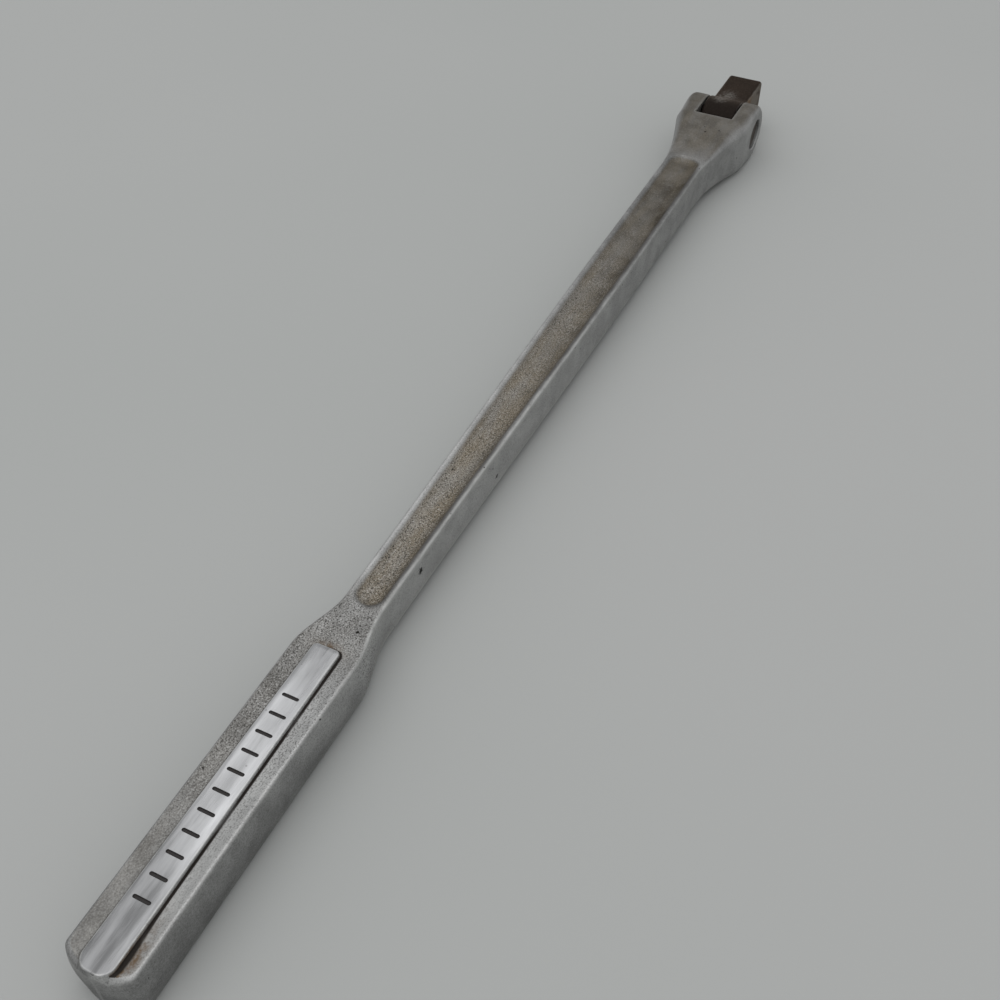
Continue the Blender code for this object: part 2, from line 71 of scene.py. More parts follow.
# Raised panel, and the dished trough around it
PANEL_START = 0.0005
PANEL_OVERRUN = 0.0026
PANEL_BUTT_WIDTH = 0.0076
PANEL_SHOULDER_WIDTH = 0.0068
PANEL_HEIGHT = 0.00116
PANEL_BUTT_CORNER = 0.0029
PANEL_SHOULDER_CORNER = 0.0012
PANEL_EDGE_RADIUS = 0.00022
PANEL_CROWN = 0.00006
PANEL_ROLL_WIDTH = 0.0012
PANEL_ROLL_DROP = 0.00016
PANEL_WALL_SLOPE = 2.4
PANEL_POLISH_DEPTH = 0.0004
TROUGH_START = 0.0009
TROUGH_BUTT_CORNER = 0.005
TROUGH_RIM = 0.0006
TROUGH_FILLET = 0.008
TROUGH_RUN_OUT = 0.0004

# Shoulder and I-beam shank
SHOULDER_LENGTH = 0.0182
SHANK_GRIP_WIDTH = 0.0109
SHANK_HEAD_WIDTH = 0.014
SHANK_GRIP_THICKNESS = 0.0114
SHANK_HEAD_THICKNESS = 0.0136
SHANK_SIDE_CROWN = 0.0003
SHANK_EDGE_RADIUS = 0.0008
SHANK_SWELL_LENGTH = 0.15
GROOVE_LEAD = 0.0011
GROOVE_FROM_PIVOT = 0.0368
GROOVE_LAND = 0.0012
GROOVE_DEPTH = 0.0017
GROOVE_FILLET = 0.004
GROOVE_HEAD_CORNER = 0.0039
TROUGH_RIDGE_SOFTNESS = 0.0004
GROOVE_RIDGE_SOFTNESS = 0.0006

# Yoke
YOKE_WIDTH = 0.0265
YOKE_THICKNESS = 0.02
YOKE_EDGE_RADIUS = 0.0044
EAR_EDGE_RADIUS = 0.0024
FLARE_FROM_PIVOT = 0.044
FLARE_LENGTH = 0.032
FLARE_POWER = 1.6
FLARE_SOFTNESS = 0.06
RISE_FROM_PIVOT = 0.0383
RISE_LENGTH = 0.0265
SLOT_WIDTH = 0.0133
SLOT_FROM_PIVOT = 0.0111
SLOT_EDGE_RADIUS = 0.0005
PLUNGER_BORE_RADIUS = 0.003
PLUNGER_BORE_DEPTH = 0.0154

# Drive head and pin
TANG_SQUARE = 0.0127
TANG_REACH = 0.0287
TANG_TIP_RADIUS = 0.0014
HEAD_EDGE_RADIUS = 0.0011
HEAD_RIM = 0.0002
TONGUE_RADIUS = 0.01
TONGUE_FILLET = 0.0105
PIN_RADIUS = 0.005
PIN_BORE_RADIUS = 0.0053
PIN_BORE_CHAMFER = 0.00035
PIN_RECESS = 0.0009
PIN_CHAMFER = 0.0006
PIN_BEVEL_SHARE = 0.3
PIN_DISH = 0.00025
DETENT_FROM_TIP = 0.009
DETENT_MOUTH_RADIUS = 0.00263
DETENT_BORE_RADIUS = 0.00305
DETENT_BORE_DEPTH = 0.0096
DETENT_LIP = 0.0005
BALL_RADIUS = 0.00275
BALL_PROUD = 0.0012

# Engraved lines: an even row of plain bars across the panel
BAR_COUNT = 11
BAR_FIRST = 0.0155
BAR_PITCH = 0.005
BAR_LENGTH = 0.0042
BAR_WIDTH = 0.00085
BAR_DEPTH = 0.0003
BAR_FLOOR_SHARE = 0.3
BAR_MOUTH_SHARE = 0.7

# Dents and scars of use: place along, across and up the bar, and size
NICKS = (
    (0.1523, -0.0061, -0.0019, 0.00085),
    (0.1291, -0.006, 0.0055, 0.00085),
    (0.1123, -0.0056, 0.002, 0.0011),
    (0.0872, -0.0033, 0.006, 0.0005),
    (0.0436, 0.0067, 0.0069, 0.0005),
    (0.0052, -0.0088, 0.0035, 0.00045),
    (0.3278, -0.0008, 0.009, 0.00045),
    (0.3299, -0.0052, 0.0093, 0.00045),
)

# Camera at the photograph's viewing angle, the floor and the light
PHOTO_SIZE = 1000
SENSOR_WIDTH = 36.0
CAMERA_FOCAL_PIXELS = 1175
CAMERA_CLIP_START = 0.01
CAMERA_PITCH_YAW_ROLL = (45.66, 25.92, 0.27)
CAMERA_PLACE = (-0.234, -0.1027, 0.2225)
FLOOR_SIZE = 8.0
FLOOR_ROUGHNESS = 0.7
WORLD_STRENGTH = 0.7
SOFTBOX_POWER = 4.8
SOFTBOX_SIZE = (1.5, 1.4)
SOFTBOX_PLACE = (-0.1, 0.12, 1.1)
SOFTBOX_AIM = (0.0, 0.0, 0.0)

# Fineness of the handle's skin
TOP_COLUMNS = 42
SLOT_COLUMNS = 12
ARC_COLUMNS = 9
SIDE_COLUMNS = 6
SLOT_ROWS = 14
COLUMN_SAMPLES = 500
FINE_STEP = 0.0001
CLOSE_STEP = 0.00025
MIDDLE_STEP = 0.0006
GRIP_STEP = 0.0011
SHANK_STEP = 0.0017
BUTT_TURNS = (5, 90, 16)
BUTT_PLACES = (0.0003, 0.0032, 24)
BUTT_GAP = 0.0008
BEFORE_PANEL_END = 0.0022
AFTER_PANEL_END = 0.0008
OUTSIDE_GROOVE_END = 0.001
INSIDE_GROOVE_END = 0.005
COLUMN_SHIFT_LEAD = 0.0006
COLUMN_SHIFT_MARGIN = 0.0016
EAR_TURN_STEP = 3
EAR_LAST_TURN = 87
SLOT_BOTTOM_SHARES = (1.0, 0.6, 0.3, 0.1, 0.0)
SLOT_SIDE_SHARES = (0.08, 0.3, 0.6, 1.0)

# Crowding of a section's points at an edge: weight, shift from the edge, and spread
PANEL_WALL_CROWD = (8, 0.0002, 0.0005)
PANEL_ROLL_CROWD = (3, -PANEL_ROLL_WIDTH / 2, PANEL_ROLL_WIDTH / 2)
TROUGH_RIM_CROWD = (2.5, 0.0, 0.0012)
GROOVE_WALL_CROWD = (3.0, -0.0004, 0.001)
GRIP_CROWD_OVERRUN = 0.001
GRIP_CROWD_FADE = 0.008
SHANK_CROWD_FADE = 0.004

# Fineness of the other pieces, margins, and the angles above which an edge stays sharp
HEAD_POINT_SPACING = 0.00045
HEAD_SLICES = 29
HEAD_EDGE_PLACES = 6
HEAD_COLUMNS = 17
TANG_TIP_STEPS = 8
TONGUE_FILLET_STEPS = 24
TONGUE_STEPS = 96
BAR_END_STEPS = 8
PIN_STEPS = 64
PIN_FACE_SHARES = (0, 0.3, 0.6, 0.8, 0.93, 1.0)
PIN_BORE_STEPS = 48
BORE_STEPS = 32
BALL_SEGMENTS = 40
BALL_RINGS = 20
CUT_MARGIN = 0.004
MERGE_DISTANCE = 0.000001
FORGED_SHARP_ANGLE = 38
HEAD_SHARP_ANGLE = 30
BALL_SHARP_ANGLE = 60

# Order of the handle's finishes
FORGED_FINISH, PANEL_FINISH, FILL_FINISH = range(3)

# Most that a rounding takes of the half width or half thickness it is on
CROWN_OF_WIDTH = 0.3
EDGE_OF_THICKNESS = 0.8
EDGE_OF_WIDTH = 0.6
SLOT_EDGE_OF_THICKNESS = 0.45

# Finishes: shares of the grain's scale, spans of grain and roughness, and other shader values
BROAD_SCALE_SHARE = 0.05
PIT_SCALE_SHARE = 0.12
GRAIN_SPAN = (0.25, 0.75)
SATIN = (0.62, 0.48)
FILM_DULLNESS = 0.4
WEAR_SHINE = 0.1
DULL_ROUGHNESS = 0.2
LOW_SPECULAR = 0.2
OXIDE_METALLIC = 0.7
PANEL_PITS = 0.5
PIN_WEAR = 0.5
BLACK = (0.0, 0.0, 0.0, 1.0)

# Worked out from the sizes above
SHOULDER_END = GRIP_LENGTH + SHOULDER_LENGTH
PANEL_END = GRIP_LENGTH + PANEL_OVERRUN
FLARE_START = PIVOT_X - FLARE_FROM_PIVOT
RISE_START = PIVOT_X - RISE_FROM_PIVOT
SLOT_BOTTOM = PIVOT_X - SLOT_FROM_PIVOT
GROOVE_START = SHOULDER_END - GROOVE_LEAD
GROOVE_END = PIVOT_X - GROOVE_FROM_PIVOT
EAR_RADIUS = YOKE_THICKNESS / 2
SLOT_HALF = SLOT_WIDTH / 2
TANG_HALF = TANG_SQUARE / 2
DETENT_X = PIVOT_X + TANG_REACH - DETENT_FROM_TIP
TROUGH_FLOOR = SHANK_GRIP_THICKNESS / 2 + TROUGH_RUN_OUT
TROUGH_DEPTH = GRIP_THICKNESS / 2 - TROUGH_FLOOR
PANEL_TOP = TROUGH_FLOOR + PANEL_HEIGHT
BUTT = PIVOT - ALONG * PIVOT_X
LIE = Matrix.Translation(BUTT) @ Matrix((ALONG, ACROSS, UP)).transposed().to_4x4()

# Zones of the handle: where each starts, and the length over which it comes in
RIGHT_HALF = (-0.001, 0.002)
PAST_GRIP = (GRIP_LENGTH - 0.011, 0.016)
PAST_SHOULDER = (SHOULDER_END - 0.005, 0.016)
ON_YOKE = (FLARE_START + 0.002, 0.013)
LEFT_EAR_ACROSS = (SLOT_HALF - 0.002, 0.004)
LEFT_EAR_ALONG = (SLOT_BOTTOM - 0.006, 0.006)
AGED = (0.15, 0.14)
IN_GROOVE = (0.0, 0.001)
FAR_GROOVE = (0.22, 0.07)
SHANK_RIDGE = (GRIP_LENGTH, 0.01)

# Limits of the sides, in shares of the edge's rounding, and of the trough
SIDE_START = 0.3
SIDE_LENGTH = 0.6
BELOW_PANEL = 0.00015
TROUGH_OVERRUN = 0.006

# Tones of the handle, from 0 for black to 1 for white
LEFT_STRIP = 0.23
LANDS = (0.47, 0.33)
AGED_LAND = 0.25
SHOULDER_TONE = 0.285
YOKE_TONES = (0.125, 0.065)
AGED_SIDE = 0.33
YOKE_SIDE = 0.335
PANEL_TONE = 0.33
# GLEAM: strength of the painted highlights along the panel's sides
GLEAM = 0.12

# Fades on the handle: start, length, and the values before and after
RIGHT_STRIP = (0.004, 0.0045, 0.42, 0.46)
STRIP_FALL = (0.055, 0.02, 0.0, 0.05)
GROOVE_TONE = (0.13, 0.13, 0.345, 0.165)
# GROOVE_SHADE: painted shade, darkening the groove towards its right side
GROOVE_SHADE = (-0.001, 0.005, 1.0, 0.3)
SIDE_TONE = (0.03, 0.08, 0.255, 0.43)
# GRIP_SIDE_SHADE: painted shade, darker low on the grip's sides and lighter high up
GRIP_SIDE_SHADE = (-0.003, 0.008, 0.85, 1.2)
# PANEL_REFLECTION: painted reflection, brightening the panel along the bar
PANEL_REFLECTION = (0.016, 0.024, 0.65, 1.18)
PANEL_END_SHADE = (0.063, 0.01, 1.0, 0.85)
RIGHT_GLEAM_FADE = (0.03, 0.03, 1.0, 0.3)
LEFT_GLEAM_FADE = (0.03, 0.03, 0.0, 0.8)
GROOVE_WALL_SHADE_FADE = (GROOVE_END - 0.01, 0.008, 1.0, 0.0)
BUTT_SPECKS = (0.01, 0.05, 0.3, 1.0)
MIDDLE_SPECKS = (0.11, 0.09, 1.0, 0.75)

# Marks on the handle: centre, spread, and strength where it is not 1, or width added by caked dirt
GROOVE_STAIN = (0.288, 0.022, 0.075)
# GROOVE_WALL_SHADE: a dark band of painted shade along the groove's right wall
GROOVE_WALL_SHADE = (0.0, 0.0011, 0.55)
CAKED_DIRT = (0.006, 0.006, 0.0004)
BUTT_RUST_ALONG = (0.005, 0.007, 1.5)
BUTT_RUST_ACROSS = (0.0046, 0.0019)
END_RUST_ALONG = (PANEL_END + 0.0004, 0.0013)
END_RUST_ACROSS = (0.0, 0.003)
SHOULDER_SPECKS = (0.088, 0.014)
SIDE_SPECKS = (0.084, 0.007, 0.9)
RIDGE_WEAR = (0.0003, 0.0004)
PANEL_WEAR = (0.0001, 0.0002, 0.8)
SLOT_WEAR = (0.0002, 0.0005, 0.2)
# RIGHT_GLEAM, LEFT_GLEAM: painted highlights along the panel's right and left sides
RIGHT_GLEAM = (-0.0025, 0.001)
LEFT_GLEAM = (0.0021, 0.0009)

# Strengths of film, of dirt and painted shade at the panel's foot, specks and wear on the handle, and how
# far that dark band and wear reach
AGED_FILM = 0.55
YOKE_FILM = 0.45
TROUGH_FILM = 0.2
SHOULDER_FILM = 0.15
PANEL_FOOT_DIRT_AND_SHADE = (0.45, 0.95)
FOOT_BAND_RISE = 0.0002
FOOT_BAND_WIDTH = 0.0004
TROUGH_SPECKS = (0.9, 0.65)
FAR_SPECKS = 0.25
SIDE_SPECK_LOSS = 0.7
LEAST_SPECKS = (0.32, 0.22)
GRIP_RIDGE_WEAR = 0.25
AGED_RIDGE_WEAR = 0.15
RIDGE_FACE = 0.8
SLOT_FACE = 0.6
PANEL_WEAR_DEPTH = 0.0005

# Wear, rust and painted shade on the drive head, and wear and grime on the pin: start and length, or centre
# and spread
TANG_SIDE_ACROSS = (TANG_HALF - 0.0006, 0.0005)
TANG_SIDE_ALONG = (PIVOT_X + TONGUE_RADIUS - 0.002, 0.004)
HEAD_EDGE_WEAR = (0.0, 0.0007)
SCUFF_START = (PIVOT_X - 0.004, 0.006)
SCUFF_END = (PIVOT_X + 0.0105, 0.0095)
SCUFF_ACROSS = (0.0016, 0.0034)
TONGUE_BLACK_END = (PIVOT_X - 0.002, 0.0045)
TANG_RUST_ALONG = (PIVOT_X + TONGUE_RADIUS + 0.0025, 0.003)
PIN_RIM_WEAR = 0.0004
PIN_GRIME_SPREAD = 0.0005


# Helpers for shapes

def mix(low, high, share):
    return low + (high - low) * share


def ease(value, start, length):
    """Smooth step from 0 to 1 over a stretch."""
    share = np.clip((value - start) / length, 0.0, 1.0)
    return share * share * (3 - 2 * share)


def fade(value, start, length, before, after):
    """Smooth change from one number to another over a stretch."""
    return mix(before, after, ease(value, start, length))


def bump_at(value, center, spread, height=1.0):
    """Highest at the centre, falling off to both sides."""
    return height * np.exp(-((value - center) / spread) ** 2)


def soft_min(first, second, softness):
    share = np.clip(0.5 + 0.5 * (second - first) / softness, 0.0, 1.0)
    return mix(second, first, share) - softness * share * (1 - share)


def round_drop(distance, radius):
    """How far a rounded edge falls, by distance inside it."""
    near = np.clip(radius - distance, 0.0, radius)
    return radius - np.sqrt(radius ** 2 - near ** 2)


def hollow_wall(inset, depth, radius):
    """Height of a hollow's rounded wall above its floor, by distance inside its edge."""
    run = math.sqrt(radius ** 2 - (radius - depth) ** 2)
    near = np.clip(run - inset, 0.0, run)
    slope = run / (radius - depth)
    return radius - np.sqrt(radius ** 2 - near ** 2) + slope * np.maximum(-inset, 0.0)


def corner_inset(from_end, from_side, radius):
    """Distance inside an outline near a rounded corner."""
    end = np.maximum(radius - from_end, 0.0)
    side = np.maximum(radius - from_side, 0.0)
    in_corner = (end > 0) & (side > 0)
    return np.where(in_corner, radius - np.hypot(end, side), np.minimum(from_end, from_side))


def add_object(name, data):
    item = bpy.data.objects.new(name, data)
    bpy.context.scene.collection.objects.link(item)
    return item


def object_from_bmesh(name, mesh):
    data = bpy.data.meshes.new(name)
    mesh.to_mesh(data)
    mesh.free()
    return add_object(name, data)


def closed_object(name, mesh):
    bmesh.ops.recalc_face_normals(mesh, faces=mesh.faces)
    return object_from_bmesh(name, mesh)


def turned(name, profile, steps, axis="Z"):
    """A closed solid turned from a profile of (radius, height) points that starts and ends on its axis."""
    mesh = bmesh.new()
    points = [mesh.verts.new((radius, 0, height)) for radius, height in profile]
    edges = [mesh.edges.new(pair) for pair in zip(points, points[1:])]
    bmesh.ops.spin(mesh, geom=points + edges, cent=(0, 0, 0), axis=(0, 0, 1), angle=2 * math.pi,
                   steps=steps, use_merge=True)
    bmesh.ops.remove_doubles(mesh, verts=mesh.verts, dist=MERGE_DISTANCE)
    if axis == "Y":
        bmesh.ops.rotate(mesh, verts=mesh.verts, matrix=Matrix.Rotation(math.pi / 2, 3, "X"))
    if axis == "X":
        bmesh.ops.rotate(mesh, verts=mesh.verts, matrix=Matrix.Rotation(math.pi / 2, 3, "Y"))
    return closed_object(name, mesh)


def bore_tool(name, radius, low, high, steps, axis):
    """A plain round cutter between two places on its axis."""
    return turned(name, [(0, high), (radius, high), (radius, low), (0, low)], steps, axis)


def arc(center, radius, start, end, steps):
    """Points along an arc, with both angles in degrees."""
    angles = [math.radians(start + (end - start) * step / steps) for step in range(steps + 1)]
    return [(center[0] + radius * math.cos(a), center[1] + radius * math.sin(a)) for a in angles]


def settle(item, sharp_angle):
    """Apply an object's modifiers, then smooth its shading with real edges kept."""
    bpy.context.view_layer.update()
    evaluated = item.evaluated_get(bpy.context.evaluated_depsgraph_get())
    item.data = bpy.data.meshes.new_from_object(evaluated)
    item.modifiers.clear()
    item.data.shade_smooth()
    item.data.set_sharp_from_angle(angle=math.radians(sharp_angle))


def cut(item, tools, sharp_angle):
    """Cut tools out of an object and settle it, then throw the tools away."""
    for tool in tools:
        modifier = item.modifiers.new("cut_" + tool.name, "BOOLEAN")
        modifier.operation = "DIFFERENCE"
        modifier.solver = "EXACT"
        modifier.object = tool
    settle(item, sharp_angle)
    for tool in tools:
        bpy.data.objects.remove(tool, do_unlink=True)


def add_mask(item, name, values):
    attribute = item.data.attributes.new(name, "FLOAT", "POINT")
    attribute.data.foreach_set("value", np.clip(values, 0.0, 1.0).astype(np.float32))


def bar_points(item):
    """Where a piece's points are in the bar's own frame."""
    points = np.zeros(len(item.data.vertices) * 3)
    item.data.vertices.foreach_get("co", points)
    homogeneous = np.c_[points.reshape(-1, 3), np.ones(len(item.data.vertices))]
    return (homogeneous @ np.array(LIE.inverted()).T)[:, :3].T


# Handle

def butt_share(x):
    return np.maximum(1 - x / BUTT_ROUND_LENGTH, 0.0)


def flare_share(x):
    """Share of the way from the shank's width to the yoke's."""
    climb = np.maximum((x - FLARE_START) / FLARE_LENGTH, 0.0) ** FLARE_POWER
    return soft_min(climb, 1.0, FLARE_SOFTNESS)


def half_width(x):
    grip_share = np.clip(x / GRIP_LENGTH, 0.0, 1.0)
    grip = mix(GRIP_BUTT_WIDTH, GRIP_SHOULDER_WIDTH, grip_share) / 2
    shank = mix(SHANK_GRIP_WIDTH, SHANK_HEAD_WIDTH, ease(x, SHOULDER_END, SHANK_SWELL_LENGTH)) / 2
    body = mix(grip, shank, ease(x, GRIP_LENGTH, SHOULDER_LENGTH))
    body = mix(body, YOKE_WIDTH / 2, flare_share(x))
    return body * np.sqrt(1 - butt_share(x) ** 2)


def half_thickness(x):
    shank_share = np.clip((x - SHOULDER_END) / (RISE_START - SHOULDER_END), 0.0, 1.0)
    shank = mix(SHANK_GRIP_THICKNESS, SHANK_HEAD_THICKNESS, shank_share) / 2
    body = mix(GRIP_THICKNESS / 2, shank, ease(x, GRIP_LENGTH, SHOULDER_LENGTH))
    body = mix(body, EAR_RADIUS, ease(x, RISE_START, RISE_LENGTH))
    past_pivot = np.maximum(x - PIVOT_X, 0.0)
    body = np.where(x > PIVOT_X, np.sqrt(np.maximum(EAR_RADIUS ** 2 - past_pivot ** 2, 0.0)), body)
    return body - BUTT_SIDE_DROP * (1 - np.sqrt(1 - butt_share(x) ** 2))


def side_crown(x):
    crown = mix(GRIP_SIDE_CROWN, SHANK_SIDE_CROWN, ease(x, GRIP_LENGTH, SHOULDER_LENGTH))
    crown = mix(crown, 0.0, ease(x, FLARE_START, FLARE_LENGTH))
    return np.minimum(crown, CROWN_OF_WIDTH * half_width(x))


def edge_radius(x):
    radius = mix(GRIP_EDGE_RADIUS, SHANK_EDGE_RADIUS, ease(x, GRIP_LENGTH, SHOULDER_LENGTH))
    radius = mix(radius, YOKE_EDGE_RADIUS, ease(x, FLARE_START, FLARE_LENGTH))
    radius = mix(radius, EAR_EDGE_RADIUS, ease(x, PIVOT_X - EAR_RADIUS, EAR_RADIUS))
    radius = np.minimum(radius, EDGE_OF_THICKNESS * half_thickness(x))
    return np.minimum(radius, EDGE_OF_WIDTH * half_width(x))


def panel_half(x):
    share = np.clip((x - PANEL_START) / (PANEL_END - PANEL_START), 0.0, 1.0)
    return mix(PANEL_BUTT_WIDTH, PANEL_SHOULDER_WIDTH, share) / 2


def panel_inset(x, y):
    from_side = panel_half(x) - np.abs(y)
    near = corner_inset(x - PANEL_START, from_side, PANEL_BUTT_CORNER)
    return np.minimum(near, corner_inset(PANEL_END - x, from_side, PANEL_SHOULDER_CORNER))


def panel_surface(x, y):
    inset = panel_inset(x, y)
    drop = round_drop(inset, PANEL_EDGE_RADIUS)
    drop = drop + PANEL_ROLL_DROP * np.clip(1 - inset / PANEL_ROLL_WIDTH, 0.0, 1.0) ** 2
    drop = drop + PANEL_WALL_SLOPE * np.maximum(-inset, 0.0)
    return PANEL_TOP - PANEL_CROWN * (y / panel_half(x)) ** 2 - drop


def trough_inset(x, y):
    from_side = half_width(x) - side_crown(x) - TROUGH_RIM - np.abs(y)
    return corner_inset(x - TROUGH_START, from_side, TROUGH_BUTT_CORNER)


def groove_half(x):
    clamped = np.clip(x, SHOULDER_END, FLARE_START)
    return half_width(clamped) - side_crown(clamped) - GROOVE_LAND


def groove_inset(x, y):
    from_side = groove_half(x) - np.abs(y)
    near = corner_inset(x - GROOVE_START, from_side, groove_half(np.asarray(SHOULDER_END)))
    return np.minimum(near, corner_inset(GROOVE_END - x, from_side, GROOVE_HEAD_CORNER))


def slot_distance(x, y):
    """Distance from the fork's slot, outside it."""
    return np.hypot(np.maximum(SLOT_BOTTOM - x, 0.0), np.maximum(np.abs(y) - SLOT_HALF, 0.0))


def shape_face(x, y, z):
    """Sink the trough and groove into a face of the plain forging, raise its panel and round its slot."""
    grip_end = PANEL_END + SHOULDER_LENGTH
    dish = TROUGH_FLOOR + hollow_wall(trough_inset(x, y), TROUGH_DEPTH, TROUGH_FILLET)
    z = np.where(x < grip_end, soft_min(z, dish, TROUGH_RIDGE_SOFTNESS), z)
    z = np.maximum(z, panel_surface(x, y))
    floor = half_thickness(x) - GROOVE_DEPTH
    groove = floor + hollow_wall(groove_inset(x, y), GROOVE_DEPTH, GROOVE_FILLET)
    z = np.where(x > GRIP_LENGTH, soft_min(z, groove, GROOVE_RIDGE_SOFTNESS), z)
    radius = np.minimum(SLOT_EDGE_RADIUS, SLOT_EDGE_OF_THICKNESS * half_thickness(x))
    return z - round_drop(slot_distance(x, y), radius)


def stretch(start, end, step):
    return list(np.linspace(start, end, max(2, int(math.ceil((end - start) / step)) + 1))[:-1])


def handle_stations():
    """Places of the sections along the bar, close together where the form turns quickly."""
    turns = np.radians(np.linspace(*BUTT_TURNS))
    places = sorted(set(BUTT_ROUND_LENGTH * (1 - np.cos(turns))) | set(np.linspace(*BUTT_PLACES)))
    stops = (
        (places[-1] + BUTT_GAP, GRIP_STEP),
        (PANEL_END - BEFORE_PANEL_END, FINE_STEP),
        (PANEL_END + AFTER_PANEL_END, MIDDLE_STEP),
        (GROOVE_START - OUTSIDE_GROOVE_END, CLOSE_STEP),
        (GROOVE_START + INSIDE_GROOVE_END, SHANK_STEP),
        (GROOVE_END - INSIDE_GROOVE_END, CLOSE_STEP),
        (GROOVE_END + OUTSIDE_GROOVE_END, MIDDLE_STEP),
    )
    ends = [place for place, step in stops[1:]] + [SLOT_BOTTOM - SLOT_EDGE_RADIUS]
    for (start, step), end in zip(stops, ends):
        places += stretch(start, end, step)
    places += [SLOT_BOTTOM - SLOT_EDGE_RADIUS * share for share in SLOT_BOTTOM_SHARES]
    return np.array(places)


def ear_stations():
    before = stretch(SLOT_BOTTOM + MIDDLE_STEP, PIVOT_X, MIDDLE_STEP)
    turns = [math.radians(turn) for turn in range(0, EAR_LAST_TURN + 1, EAR_TURN_STEP)]
    return np.array(before + [PIVOT_X + EAR_RADIUS * math.sin(turn) for turn in turns])


def spread_columns(x, reach):
    """Places of the section's points across a face, crowded where the panel, trough or groove turns."""
    across = np.linspace(0.0, reach, COLUMN_SAMPLES)
    grip = 1 - ease(x, PANEL_END + GRIP_CROWD_OVERRUN, GRIP_CROWD_FADE)
    shank = ease(x, GROOVE_START - SHANK_CROWD_FADE, SHANK_CROWD_FADE)
    shank = shank * (1 - ease(x, GROOVE_END, SHANK_CROWD_FADE))
    crowds = (
        (panel_half(x), grip, PANEL_WALL_CROWD),
        (panel_half(x), grip, PANEL_ROLL_CROWD),
        (reach, grip, TROUGH_RIM_CROWD),
        (groove_half(x), shank, GROOVE_WALL_CROWD),
    )
    density = np.ones(COLUMN_SAMPLES)
    for edge, share, (weight, shift, spread) in crowds:
        density = density + weight * share * bump_at(across, edge + shift, spread)
    total = np.cumsum(density) - density[0]
    return np.interp(np.linspace(0, total[-1], TOP_COLUMNS + 1), total, across)


def slot_columns(reach):
    """Places across a face of the yoke, with one on the slot's edge and more on its rounding."""
    middle = [SLOT_HALF * step / SLOT_COLUMNS for step in range(SLOT_COLUMNS + 1)]
    rounding = [SLOT_HALF + SLOT_EDGE_RADIUS * share for share in SLOT_SIDE_SHARES]
    rest = TOP_COLUMNS - SLOT_COLUMNS - len(rounding)
    outer = np.linspace(rounding[-1], reach, rest + 1)[1:]
    return np.array(middle + rounding + list(outer))


def ear_rounding(x, z):
    """How far an ear's outer face falls back towards its round rim."""
    return round_drop(EAR_RADIUS - np.hypot(x - PIVOT_X, z), EAR_EDGE_RADIUS)


def quarter_section(x):
    """A quarter of the section at x, from the middle of the top to the middle of the side."""
    width, thickness = float(half_width(x)), float(half_thickness(x))
    crown, radius = float(side_crown(x)), float(edge_radius(x))
    reach = width - crown - radius
    past_pivot = x > PIVOT_X
    if past_pivot:
        radius = EAR_EDGE_RADIUS * thickness / EAR_RADIUS
        reach = width - EAR_EDGE_RADIUS
    if x >= SLOT_BOTTOM:
        columns = slot_columns(reach)
    else:
        full = float(half_width(SLOT_BOTTOM) - side_crown(SLOT_BOTTOM) - edge_radius(SLOT_BOTTOM))
        run = SLOT_BOTTOM - GROOVE_END - COLUMN_SHIFT_MARGIN
        share = float(ease(x, GROOVE_END + COLUMN_SHIFT_LEAD, run))
        columns = mix(spread_columns(x, reach), slot_columns(full) * reach / full, share)
    straight = thickness - radius
    flat = np.full(len(columns), thickness)
    turns = np.radians(np.linspace(90, 0, ARC_COLUMNS + 1))[1:]
    climbs = np.linspace(1, 0, SIDE_COLUMNS + 1)[1:]
    y = np.concatenate([columns, reach + radius * np.cos(turns), width - crown * climbs ** 2])
    z = np.concatenate([flat, straight + radius * np.sin(turns), straight * climbs])
    on_face = len(columns) + ARC_COLUMNS
    z[:on_face] = np.maximum(shape_face(x, y[:on_face], z[:on_face]), 0.0)
    if past_pivot:
        y[len(columns):] = width - ear_rounding(x, z[len(columns):])
    return y, z


def ring_of(x):
    """The whole section at x, from its quarter."""
    y, z = quarter_section(x)
    half = [(x, a, b) for a, b in zip(y, z)]
    half += [(x, a, -b) for a, b in zip(y[-2::-1], z[-2::-1])]
    mirrored = [(x, -a, b) for _, a, b in half[-2:0:-1]]
    return half + mirrored


def bridge(mesh, first, second, closed=True):
    count = len(first)
    for index in range(count if closed else count - 1):
        after = (index + 1) % count
        mesh.faces.new((first[index], second[index], second[after], first[after]))


def add_ear(mesh, side, root, floor_rows):
    """Carry one side of the fork from its root to its rounded end, with a flat inner wall."""
    loop = root + floor_rows
    for x in ear_stations():
        y, z = quarter_section(x)
        places = list(zip(y[SLOT_COLUMNS:], z[SLOT_COLUMNS:]))
        outer = places + [(a, -b) for a, b in reversed(places[:-1])]
        inner = [(SLOT_HALF, mix(-z[SLOT_COLUMNS], z[SLOT_COLUMNS], row / SLOT_ROWS))
                 for row in range(1, SLOT_ROWS)]
        ring = [mesh.verts.new((x, side * a, b)) for a, b in outer + inner]
        bridge(mesh, loop, ring)
        loop = ring
    mesh.faces.new(loop)


